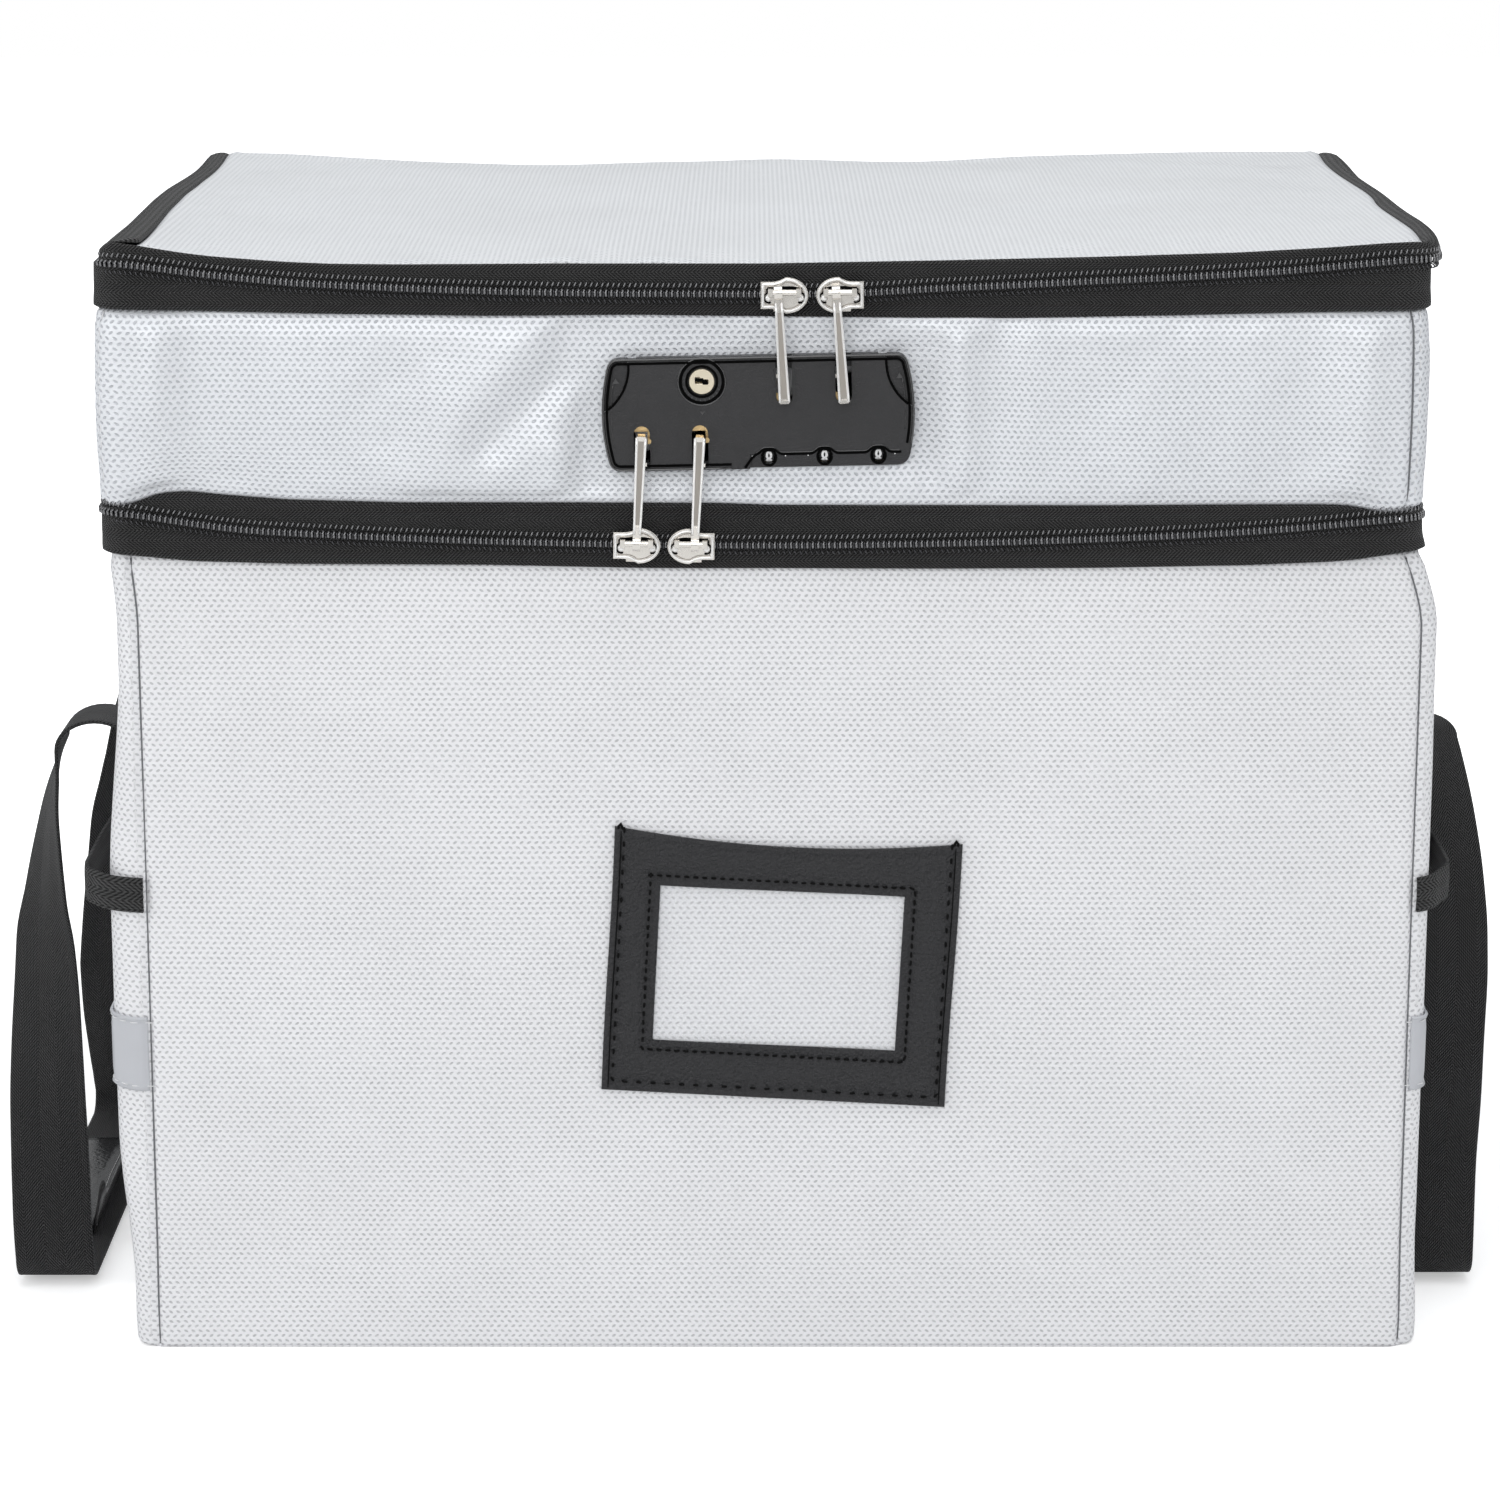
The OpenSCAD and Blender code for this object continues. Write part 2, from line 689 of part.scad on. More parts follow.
// nose is 1 for a slider that points right and -1 for one that points left
module slider(i, nose) {
  leg_x = 4.6;
  leg_w = 2.4;
  post_t = mesh_gap - 2 * run;
  back_y = front_y + slide_run;
  flange_w = 1;
  color(nickel)
    at_slider(i)
      scale([nose, 1, 1]) {
        upright(plate_y - slider_t * 0.7, plate_y)
          slider_outline(0);
        upright(plate_y - slider_t, plate_y - slider_t * 0.7)
          slider_outline(0.5);
        translate([1, plate_y - eps, -post_t / 2])
          cube([4, back_y + slider_t - plate_y, post_t]);
        upright(back_y, back_y + slider_t - 0.3)
          rounded(slider_l * 0.75, slider_back_w, 2);
        translate([-3.5, plate_y - slider_t * 0.7, -chain_w / 2 - run - flange_w])
          cube([6, tape_y - run - plate_y + slider_t * 0.7, flange_w]);
        for (s = [-1, 1])
          translate([s * leg_x - 0.8, bar_y - bar_r, bar_up - leg_w / 2])
            cube([1.6, plate_y - slider_t * 0.7 - bar_y + bar_r, leg_w]);
        translate([-leg_x, bar_y, bar_up])
          rotate([0, 90, 0])
            cylinder(h = 2 * leg_x, r = bar_r);
      }
}
module slider_upper_left() {
  slider(0, 1);
}
module slider_upper_right() {
  slider(1, -1);
}
module slider_lower_left() {
  slider(2, 1);
}
module slider_lower_right() {
  slider(3, -1);
}

// Pulls. At rest a pull's lug is just clear of its slot in the lock
lock_z = lower_zip_z + lock_up;
face_y = front_y - lock_t;
lug_clear = 0.4;
pull_lift = asin((pull_t / 2 + lug_d + bar_y - face_y + lug_clear) / (pull_len - lug_h));
slot_u = [8.6, 28, -38.2, -19.2];
function eye_point(i) =
  let (zip = zip_of(i), a = swing_of(i), u = eye_shift[i], w = bar_up - zip[1])
  [u * cos(a) + w * sin(a), bar_y, zip[0] + zip[1] - u * sin(a) + w * cos(a)];
function slot_point_x(i, z) =
  let (w = (z - lock_z - slot_u[i] * sin(lock_tilt)) / cos(lock_tilt))
  lock_x + slot_u[i] * cos(lock_tilt) - w * sin(lock_tilt);
function pull_way(i) = i < slider_lower ? -1 : 1;
function pull_lean(i) =
  let (p = eye_point(i))
  asin((slot_point_x(i, p[2] + pull_way(i) * pull_len) - p[0]) / pull_len);
module pull_blade() {
  neck = 1.6;
  groove = 0.35;
  difference() {
    union() {
      rotate([0, 90, 0])
        cylinder(h = pull_eye_w, r = eye_r, center = true);
      upright(-pull_t / 2, pull_t / 2)
        polygon([[-pull_eye_w / 2, -neck], [pull_eye_w / 2, -neck],
          [pull_tip_w / 2, 0.6 - pull_len], [pull_tip_w / 2 - 0.6, -pull_len],
          [0.6 - pull_tip_w / 2, -pull_len], [-pull_tip_w / 2, 0.6 - pull_len]]);
      translate([-lug_w / 2, pull_t / 2 - eps, -pull_len])
        cube([lug_w, lug_d + eps, lug_h]);
      translate([-pull_tip_w / 2 - 0.3, -pull_t / 2 + 0.4, -pull_len * 0.76])
        cube([1, pull_t - 0.8, 1.2]);
    }
    rotate([0, 90, 0])
      cylinder(h = far, r = bar_r + run, center = true);
    upright(-pull_t, groove - pull_t / 2)
      polygon([[-pull_eye_w / 4, -6], [pull_eye_w / 4, -6],
        [pull_tip_w / 4, 1.2 - pull_len], [-pull_tip_w / 4, 1.2 - pull_len]]);
    translate([0, pull_t / 2 + lug_d - 1.3, lug_h / 2 - pull_len])
      rotate([0, 90, 0])
        cylinder(h = far, r = 0.7, center = true);
  }
}
module pull(i) {
  way = pull_way(i);
  color(nickel)
    translate(eye_point(i))
      rotate([way * pull_lift, 0, 0])
        rotate([0, way * pull_lean(i) + (way > 0 ? 180 : 0), 0])
          pull_blade();
}
module pull_upper_left() {
  pull(0);
}
module pull_upper_right() {
  pull(1);
}
module pull_lower_left() {
  pull(2);
}
module pull_lower_right() {
  pull(3);
}

// Lock. Its own axes are u across and w up, turned with the case
bow_r = arc_r(lock_h / 2, lock_bow);
bevel_h = 5;
bevel_d = 3.6;
dial_u = [3.2, 21.4, 39];
dial_w = 6.2 - lock_h / 2;
dial_y = face_y + dial_r + 1.1;
dial_run = 0.3;
window_up = 3.4;
plug_u = -18.2;
plug_w = 10.6;
plug_l = lock_t + lock_back_d - 4;
ring_r = 7.7;
cavity_y = face_y + lock_wall;
housing_y = front_y + lock_back_d;
housing_w = 94;
housing_top = lock_h / 2 - 3.2;
housing_bottom = 1.4 - lock_h / 2;
housing_wall = 1.2;
button_r = 17.6;
button_y = face_y + 0.8;
button_t = 0.9;
button_edge = 0.15;
hook_y = button_y + button_t;
hook_t = 1;
hook_h = 4;
strip_h = 3;
upper_slot_w = 2.5;
lower_slot_w = -3.7;
screw_u = 43.6;
screw_w = 11;
screw_r = 1.1;
block_u0 = -3;
block_top = -6.5;
module at_lock() {
  translate([lock_x, 0, lock_z])
    rotate([0, -lock_tilt, 0])
      children();
}
// Rectangle of the housing behind the skin, grown by g
module housing_area(g) {
  translate([-housing_w / 2 - g, housing_bottom - g])
    square([housing_w + 2 * g, housing_top - housing_bottom + 2 * g]);
}
module lock_cut() {
  at_lock()
    upright(front_y - eps, front_y + wall_in + lining_t + eps)
      housing_area(run);
}
// Case outline: straight top and bottom, bowed ends, rounded corners
function lock_quarter(g) =
  let (rc = lock_corner_r - g, rb = bow_r - g, h = lock_h / 2 - g, cx = lock_w / 2 - bow_r,
    wc = h - rc, uc = cx + sqrt(pow(rb - rc, 2) - wc * wc), a0 = atan2(wc, uc - cx))
  concat([for (k = [0:4]) let (a = a0 * k / 4) [cx + rb * cos(a), rb * sin(a)]],
    [for (k = [1:5]) let (a = a0 + (90 - a0) * k / 5) [uc + rc * cos(a), wc + rc * sin(a)]]);
function flip_list(l) = [for (i = [len(l) - 1:-1:0]) l[i]];
module lock_outline(g) {
  q = lock_quarter(g);
  right = concat([for (p = flip_list([for (i = [1:len(q) - 1]) q[i]])) [p[0], -p[1]]], q);
  polygon(concat(right, [for (p = flip_list(right)) [-p[0], p[1]]]));
}
// Upper corner of the case that is a button, drawn g inside its opening and reaching
// further in by reach
module button_area(side, g, reach = 0) {
  intersection() {
    lock_outline(g);
    translate([side * (lock_w / 2 + 8.4 - reach), lock_h / 2 - 2.6])
      circle(button_r - g);
    translate([-lock_w, g])
      square([2 * lock_w, lock_h]);
  }
}
module slots() {
  for (i = [0:3])
    translate([slot_u[i] - slot_w / 2, i < slider_lower ? upper_slot_w : -lock_h, 0])
      square([slot_w, i < slider_lower ? lock_h : lock_h + lower_slot_w]);
}
module screw_places() {
  for (su = [-1, 1], sw = [-1, 1])
    translate([su * screw_u, sw * screw_w])
      children();
}
module case_body() {
  upright(face_y + 0.6, front_y)
    lock_outline(0);
  upright(face_y, face_y + 0.6)
    lock_outline(0.6);
  upright(face_y - 0.2, face_y)
    intersection() {
      translate([plug_u, plug_w])
        difference() {
          circle(ring_r);
          circle(ring_r - 0.9);
        }
      lock_outline(0.6);
    }
  upright(front_y, housing_y)
    difference() {
      housing_area(0);
      housing_area(-housing_wall);
    }
  upright(front_y, housing_y - run)
    screw_places()
      square(6, center = true);
  upright(front_y, dial_y + shaft_r + 1.5)
    translate([block_u0, housing_bottom])
      square([housing_w / 2 - block_u0, block_top - housing_bottom]);
}
module case_hollow() {
  difference() {
    upright(cavity_y, front_y + eps)
      housing_area(-housing_wall);
    upright(cavity_y - eps, front_y + 2 * eps) {
      translate([block_u0, -lock_h])
        square([lock_w, lock_h + block_top]);
      translate([plug_u, plug_w])
        circle(plug_r + 1.6);
      for (su = [-1, 1])
        translate([su * screw_u, -screw_w])
          square(6, center = true);
    }
  }
  upright(cavity_y, hook_y + hook_t + run)
    intersection() {
      lock_outline(lock_wall);
      translate([-lock_w, -5 - strip_h])
        square([2 * lock_w, 16]);
    }
}
// Sloping face under the dials
module lock_bevel() {
  translate([block_u0, 0, 0])
    rotate([90, 0, 90])
      linear_extrude(lock_w)
        polygon([[face_y - 1, bevel_h - lock_h / 2], [face_y, bevel_h - lock_h / 2],
          [face_y + bevel_d, -lock_h / 2], [face_y + bevel_d, -lock_h], [face_y - 1, -lock_h]]);
}
module lock_case() {
  color(lock_black)
    at_lock()
      difference() {
        case_body();
        case_hollow();
        for (s = [-1, 1]) {
          upright(face_y - 1, front_y + eps)
            button_area(s, 0);
          upright(button_y - 0.1, front_y + eps)
            button_area(s, 0, button_travel + run);
        }
        upright(face_y - 1, hook_y + hook_t + run)
          slots();
        upright(face_y - 1, housing_y - housing_wall)
          translate([plug_u, plug_w])
            circle(plug_r + run);
        lock_bevel();
        for (u = dial_u) {
          translate([u - dial_t / 2 - dial_run, dial_y, dial_w])
            rotate([0, 90, 0])
              cylinder(h = dial_t + 2 * dial_run, r = dial_r + dial_run);
          upright(face_y - 1, dial_y)
            translate([u, window_up - lock_h / 2])
              rounded(dial_t + 2 * dial_run, 4.6, 1.4);
        }
        translate([block_u0 + 1.5, dial_y, dial_w])
          rotate([0, 90, 0])
            cylinder(h = dial_u[2] + dial_t / 2 + 3.5 - block_u0, r = shaft_r + 0.05);
        upright(dial_y + shaft_r + 0.5, housing_y)
          screw_places()
            circle(screw_r + 0.1);
      }
}
module lock_back_cover() {
  flange_y = front_y + wall_in + lining_t;
  cup_t = 1;
  color(nickel)
    at_lock()
      difference() {
        union() {
          upright(flange_y, flange_y + cup_t)
            rounded(lock_w, lock_h, 3);
          upright(flange_y, housing_y + cup_t)
            housing_area(run + cup_t);
        }
        upright(flange_y - eps, housing_y)
          housing_area(run);
        upright(flange_y, housing_y + 2 * cup_t)
          screw_places()
            circle(screw_r + 0.2);
      }
}
module lock_screws() {
  head_y = housing_y + 1;
  color(nickel)
    at_lock()
      for (su = [-1, 1], sw = [-1, 1])
        translate([su * screw_u, head_y, sw * screw_w])
          rotate([90, 0, 0]) {
            difference() {
              translate([0, 0, -1.2])
                cylinder(h = 1.2, r = 2);
              translate([-0.3, -3, -2])
                cube([0.6, 6, 1.3]);
            }
            cylinder(h = 6, r = screw_r);
          }
}
module dial_shaft() {
  color(nickel)
    at_lock()
      translate([block_u0 + 2, dial_y, dial_w])
        rotate([0, 90, 0])
          cylinder(h = dial_u[2] + dial_t / 2 + 2.5 - block_u0, r = shaft_r);
}
module dial(i) {
  digits = 10;
  notch_r = 0.6;
  color(lock_black)
    at_lock()
      translate([dial_u[i], dial_y, dial_w])
        rotate([0, 90, 0])
          difference() {
            cylinder(h = dial_t, r = dial_r, center = true);
            cylinder(h = dial_t + 1, r = shaft_r + run, center = true);
            for (k = [0:digits - 1])
              rotate([0, 0, 360 * (k + 0.5) / digits])
                translate([dial_r + 0.3, 0, 0])
                  cylinder(h = dial_t + 1, r = notch_r, center = true, $fn = 24);
          }
}
module dial_left() {
  dial(0);
}
module dial_middle() {
  dial(1);
}
module dial_right() {
  dial(2);
}
module key_plug() {
  color(nickel)
    at_lock()
      translate([plug_u, face_y - 0.15, plug_w])
        rotate([-90, 0, 0])
          difference() {
            cylinder(h = plug_l, r = plug_r);
            translate([-2.2, -0.65, -eps])
              cube([4.4, 1.3, 6]);
            translate([-2.2, -1.5, -eps])
              cube([1.6, 1.6, 6]);
          }
}
module button(side) {
  color(lock_black)
    at_lock()
      union() {
        upright(button_y, hook_y)
          button_area(side, button_edge);
        upright(hook_y, front_y - run)
          difference() {
            button_area(side, button_edge);
            lock_outline(1.3);
          }
      }
}
module left_button() {
  button(-1);
}
module right_button() {
  button(1);
}
// Brass strip behind the face, with a hook beside each lug. hook_way is 1 for hooks above it
module hooks(side, first, second, strip_w, hook_way) {
  hook_near = lug_w / 2 + 2 * run;
  end_u = lock_w / 2 - lock_bow - 0.4;
  riser_u = 4.4;
  far_u = min(side * slot_u[first], side * slot_u[second]) - hook_near - 1;
  riser_top = 5;
  color(brass)
    at_lock()
      upright(hook_y, hook_y + hook_t)
        scale([side, 1]) {
          translate([far_u, strip_w])
            square([end_u - far_u, strip_h]);
          translate([end_u - riser_u, strip_w])
            square([riser_u, riser_top - strip_w]);
          for (i = [first, second])
            translate([side * slot_u[i] - hook_near - 1, hook_way > 0 ? strip_w : strip_w - hook_h])
              square([1, strip_h + hook_h]);
        }
}
module left_hooks() {
  hooks(-1, 2, 3, lower_slot_w - 2.1, -1);
}
module right_hooks() {
  hooks(1, 0, 1, upper_slot_w - strip_h - 0.4, 1);
}

bottom_skin();
front_skin();
back_skin();
left_skin();
right_skin();
bottom_board();
wall_boards();
lower_lining();
label_frame();
label_window();
left_side_band();
right_side_band();
reflector_strips();
lower_zip_tape_base();
lower_zip_chain_base();
lower_hinge_band_base();
handle_ends();
left_handle();
left_grip();
right_handle();
right_grip();
tier_front_skin();
tier_back_skin();
tier_left_skin();
tier_right_skin();
tier_floor_skin();
tier_floor_board();
tier_wall_boards();
tier_lining();
lower_zip_tape_tier();
lower_zip_chain_tier();
lower_hinge_band_tier();
upper_zip_tape_tier();
upper_zip_chain_tier();
upper_hinge_band_tier();
lock_case();
lock_back_cover();
lock_screws();
dial_shaft();
dial_left();
dial_middle();
dial_right();
key_plug();
left_button();
left_hooks();
right_button();
right_hooks();
lid_skin();
lid_board();
upper_zip_tape_lid();
upper_zip_chain_lid();
upper_hinge_band_lid();
slider_upper_left();
slider_upper_right();
slider_lower_left();
slider_lower_right();
pull_upper_left();
pull_upper_right();
pull_lower_left();
pull_lower_right();
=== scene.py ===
import math
import bpy
import bmesh
import numpy as np
from mathutils import Matrix, Vector


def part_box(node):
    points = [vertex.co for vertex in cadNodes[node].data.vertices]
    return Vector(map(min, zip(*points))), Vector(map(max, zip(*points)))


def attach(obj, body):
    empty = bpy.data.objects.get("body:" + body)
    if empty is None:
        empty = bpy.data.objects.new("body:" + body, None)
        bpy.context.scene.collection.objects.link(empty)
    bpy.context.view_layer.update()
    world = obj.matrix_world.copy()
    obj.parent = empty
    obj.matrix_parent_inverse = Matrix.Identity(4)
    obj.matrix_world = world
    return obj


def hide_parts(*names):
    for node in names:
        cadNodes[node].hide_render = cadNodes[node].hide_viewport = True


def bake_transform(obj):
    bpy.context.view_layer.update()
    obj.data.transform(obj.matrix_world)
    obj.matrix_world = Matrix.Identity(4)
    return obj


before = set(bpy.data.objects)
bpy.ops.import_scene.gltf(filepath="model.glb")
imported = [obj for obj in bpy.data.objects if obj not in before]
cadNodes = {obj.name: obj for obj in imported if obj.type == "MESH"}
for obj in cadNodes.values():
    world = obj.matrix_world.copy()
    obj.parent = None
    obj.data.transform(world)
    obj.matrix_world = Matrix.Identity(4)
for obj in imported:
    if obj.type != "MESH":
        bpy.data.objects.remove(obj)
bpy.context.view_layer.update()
scene = bpy.context.scene
mm = 0.001  # every size below is in millimetres, as in the part's source

# ---------------------------------------------------------------- camera and light
print("stage: camera, floor and light")
view = {"lens": 105.6, "sensor": 36, "tiltDown": 13.01, "place": (-7.7, -1588, 541)}
light = {"world": 0.495, "top": 9.6, "front": 16.2, "left": 7.4, "right": 4.2, "back": 4.0}

scene.view_settings.view_transform = "Standard"
cameraData = bpy.data.cameras.new("camera")
cameraData.lens, cameraData.sensor_width = view["lens"], view["sensor"]
camera = bpy.data.objects.new("camera", cameraData)
camera.location = Vector(view["place"]) * mm
camera.rotation_euler = (math.radians(90 - view["tiltDown"]), 0, 0)
scene.collection.objects.link(camera)
scene.camera = camera


def areaLamp(name, place, target, size, watts):
    data = bpy.data.lights.new(name, "AREA")
    data.shape, data.size, data.size_y, data.energy = "RECTANGLE", size[0], size[1], watts
    lamp = bpy.data.objects.new(name, data)
    lamp.location = place
    lamp.rotation_euler = (Vector(target) - Vector(place)).to_track_quat("-Z", "Y").to_euler()
    scene.collection.objects.link(lamp)


areaLamp("topLamp", (0, -0.3, 1.9), (0, 0, 0.2), (1.8, 1.4), light["top"])
areaLamp("frontLamp", (-0.3, -2.3, 1.3), (0, 0, 0.2), (1.6, 1.2), light["front"])
areaLamp("leftLamp", (-1.9, -0.7, 0.9), (0, 0, 0.2), (0.9, 1.3), light["left"])
areaLamp("rightLamp", (1.9, -0.7, 0.9), (0, 0, 0.2), (0.9, 1.3), light["right"])
areaLamp("backLamp", (0, 2.2, 1.3), (0, 0, 0.2), (1.6, 1.0), light["back"])


def addNode(tree, kind, settings=None, inputs=None):
    made = tree.nodes.new(kind)
    for key, value in (settings or {}).items():
        setattr(made, key, value)
    for key, value in (inputs or {}).items():
        if isinstance(value, bpy.types.NodeSocket):
            tree.links.new(value, made.inputs[key])
        else:
            made.inputs[key].default_value = value
    return made


def calc(tree, operation, a, b=0.0, clamp=False):
    made = addNode(tree, "ShaderNodeMath", {"operation": operation, "use_clamp": clamp}, {0: a, 1: b})
    return made.outputs[0]


def buildWorld():
    # the camera and the clear film see plain white; what lights the box is brighter overhead than level
    world = bpy.data.worlds.new("studio")
    scene.world = world
    world.use_nodes = True
    tree = world.node_tree
    tree.nodes.clear()
    path = addNode(tree, "ShaderNodeLightPath")
    seen = calc(tree, "MAXIMUM", path.outputs["Is Camera Ray"], path.outputs["Is Transmission Ray"])
    way = addNode(tree, "ShaderNodeTexCoord")
    up = addNode(tree, "ShaderNodeSeparateXYZ", inputs={0: way.outputs["Generated"]})
    sky = addNode(tree, "ShaderNodeMapRange", {"interpolation_type": "SMOOTHSTEP"}, {0: up.outputs[2], 1: -0.1, 2: 0.75, 3: 0.42 * light["world"], 4: 1.3 * light["world"]})
    plain = addNode(tree, "ShaderNodeBackground", inputs={"Color": (0.96, 0.98, 1, 1), "Strength": sky.outputs[0]})
    white = addNode(tree, "ShaderNodeBackground", inputs={"Color": (1, 1, 1, 1), "Strength": 1.0})
    mixed = addNode(tree, "ShaderNodeMixShader", inputs={0: seen, 1: plain.outputs[0], 2: white.outputs[0]})
    addNode(tree, "ShaderNodeOutputWorld", inputs={0: mixed.outputs[0]})


buildWorld()


def makeFloor():
    paint = bpy.data.materials.new("paleFloor")
    paint.use_nodes = True
    tree = paint.node_tree
    tree.nodes.clear()
    path = addNode(tree, "ShaderNodeLightPath")
    matt = addNode(tree, "ShaderNodeBsdfDiffuse", inputs={"Color": (0.86, 0.86, 0.86, 1)})
    spot = addNode(tree, "ShaderNodeTexCoord")
    far = addNode(tree, "ShaderNodeVectorMath", {"operation": "LENGTH"}, {0: spot.outputs["Object"]})
    brightness = addNode(tree, "ShaderNodeMapRange", {"interpolation_type": "SMOOTHSTEP"}, {0: far.outputs["Value"], 1: 0.3, 2: 0.75, 3: 0.42, 4: 1.0})
    glow = addNode(tree, "ShaderNodeEmission", inputs={"Color": (1, 1, 1, 1), "Strength": brightness.outputs[0]})
    both = addNode(tree, "ShaderNodeAddShader", inputs={0: matt.outputs[0], 1: glow.outputs[0]})
    mix = addNode(tree, "ShaderNodeMixShader", inputs={0: path.outputs["Is Camera Ray"], 1: matt.outputs[0], 2: both.outputs[0]})
    addNode(tree, "ShaderNodeOutputMaterial", inputs={0: mix.outputs[0]})
    mesh = bpy.data.meshes.new("floor")
    mesh.from_pydata([(-6, -6, 0), (6, -6, 0), (6, 6, 0), (-6, 6, 0)], [], [(0, 1, 2, 3)])
    mesh.materials.append(paint)
    floor = bpy.data.objects.new("floor", mesh)
    scene.collection.objects.link(floor)


makeFloor()

# ---------------------------------------------------------------- materials
print("stage: materials")


def newMaterial(name, color, roughness, **more):
    made = bpy.data.materials.new(name)
    made.use_nodes = True
    shader = made.node_tree.nodes["Principled BSDF"]
    shader.inputs["Base Color"].default_value = (*color, 1)
    shader.inputs["Roughness"].default_value = roughness
    for key, value in more.items():
        shader.inputs[key].default_value = value
    return made, made.node_tree, shader


def objectPoint(tree, scale=(1, 1, 1)):
    spot = addNode(tree, "ShaderNodeTexCoord")
    return addNode(tree, "ShaderNodeMapping", inputs={"Vector": spot.outputs["Object"], "Scale": scale}).outputs[0]


def clothPoint(tree):
    return addNode(tree, "ShaderNodeUVMap", {"uv_map": "cloth"}).outputs[0]


def noise(tree, point, scale, detail=3.0, roughness=0.55):
    return addNode(tree, "ShaderNodeTexNoise", inputs={"Vector": point, "Scale": scale, "Detail": detail, "Roughness": roughness}).outputs[0]


def remap(tree, value, low, high, newLow, newHigh, smooth=False):
    kind = {"interpolation_type": "SMOOTHSTEP"} if smooth else {}
    return addNode(tree, "ShaderNodeMapRange", kind, {0: value, 1: low, 2: high, 3: newLow, 4: newHigh}).outputs[0]


def mixColor(tree, share, first, second):
    made = addNode(tree, "ShaderNodeMix", {"data_type": "RGBA"}, {0: share})
    for index, value in ((6, first), (7, second)):
        if isinstance(value, bpy.types.NodeSocket):
            tree.links.new(value, made.inputs[index])
        else:
            made.inputs[index].default_value = (*value, 1)
    return made.outputs[2]


def addBump(tree, shader, height, depth, strength=1.0):
    bump = addNode(tree, "ShaderNodeBump", inputs={"Height": height, "Distance": depth * mm, "Strength": strength})
    tree.links.new(bump.outputs[0], shader.inputs["Normal"])


def dimpleCloth(name, color, dimpleShadeColor, dimpleShadeShare, depth, roughness, metal, turned=False):
    # coated cloth: rows of small slanted dimples; each row is half a step on and leans the other way; the dimples are
    # pressed in by the bump and also painted darker, as painted shade in their hollows
    made, tree, shader = newMaterial(name, color, roughness, **{"Specular IOR Level": weave["gloss"], "Metallic": metal})
    point = clothPoint(tree)
    split = addNode(tree, "ShaderNodeSeparateXYZ", inputs={0: point})
    along, up = (1, 0) if turned else (0, 1)
    rows = calc(tree, "DIVIDE", split.outputs[up], weave["row"] * mm)
    odd = calc(tree, "FLOORED_MODULO", calc(tree, "FLOOR", rows), 2.0)
    lean = calc(tree, "SUBTRACT", 1.0, calc(tree, "MULTIPLY", odd, 2.0))
    across = calc(tree, "ADD", calc(tree, "DIVIDE", split.outputs[along], weave["step"] * mm), calc(tree, "MULTIPLY", odd, 0.5))
    x = calc(tree, "MULTIPLY", calc(tree, "SUBTRACT", calc(tree, "FRACT", across), 0.5), weave["step"])
    y = calc(tree, "MULTIPLY", calc(tree, "SUBTRACT", calc(tree, "FRACT", rows), 0.5), weave["row"])
    cosine, sine = math.cos(math.radians(weave["lean"])), math.sin(math.radians(weave["lean"]))
    far = calc(tree, "ADD", calc(tree, "MULTIPLY", x, cosine), calc(tree, "MULTIPLY", calc(tree, "MULTIPLY", y, lean), sine))
    side = calc(tree, "SUBTRACT", calc(tree, "MULTIPLY", y, cosine), calc(tree, "MULTIPLY", calc(tree, "MULTIPLY", x, lean), sine))
    far = calc(tree, "POWER", calc(tree, "ABSOLUTE", calc(tree, "DIVIDE", far, weave["length"] / 2)), 2.0)
    side = calc(tree, "POWER", calc(tree, "ABSOLUTE", calc(tree, "DIVIDE", side, weave["width"] / 2)), 2.0)
    mark = remap(tree, calc(tree, "ADD", far, side), 0.2, 1.7, 1.0, 0.0, True)
    cloud = noise(tree, point, 14.0, 4.0, 0.6)
    patch = noise(tree, point, 90.0, 2.0, 0.5)
    fine = noise(tree, point, 900.0, 2.0)
    tone = mixColor(tree, remap(tree, cloud, 0.35, 0.68, 0.0, 1.0, True), tuple(c * 0.965 for c in color), color)
    share = calc(tree, "MULTIPLY", mark, remap(tree, patch, 0.3, 0.7, dimpleShadeShare * 0.7, dimpleShadeShare))
    # painted shade: the dimple marks are darkened towards the second colour
    tree.links.new(mixColor(tree, share, tone, dimpleShadeColor), shader.inputs["Base Color"])
    tree.links.new(remap(tree, cloud, 0.3, 0.7, roughness - 0.05, roughness + 0.06), shader.inputs["Roughness"])
    addBump(tree, shader, calc(tree, "SUBTRACT", calc(tree, "MULTIPLY", fine, 0.12), mark), depth)
    return made


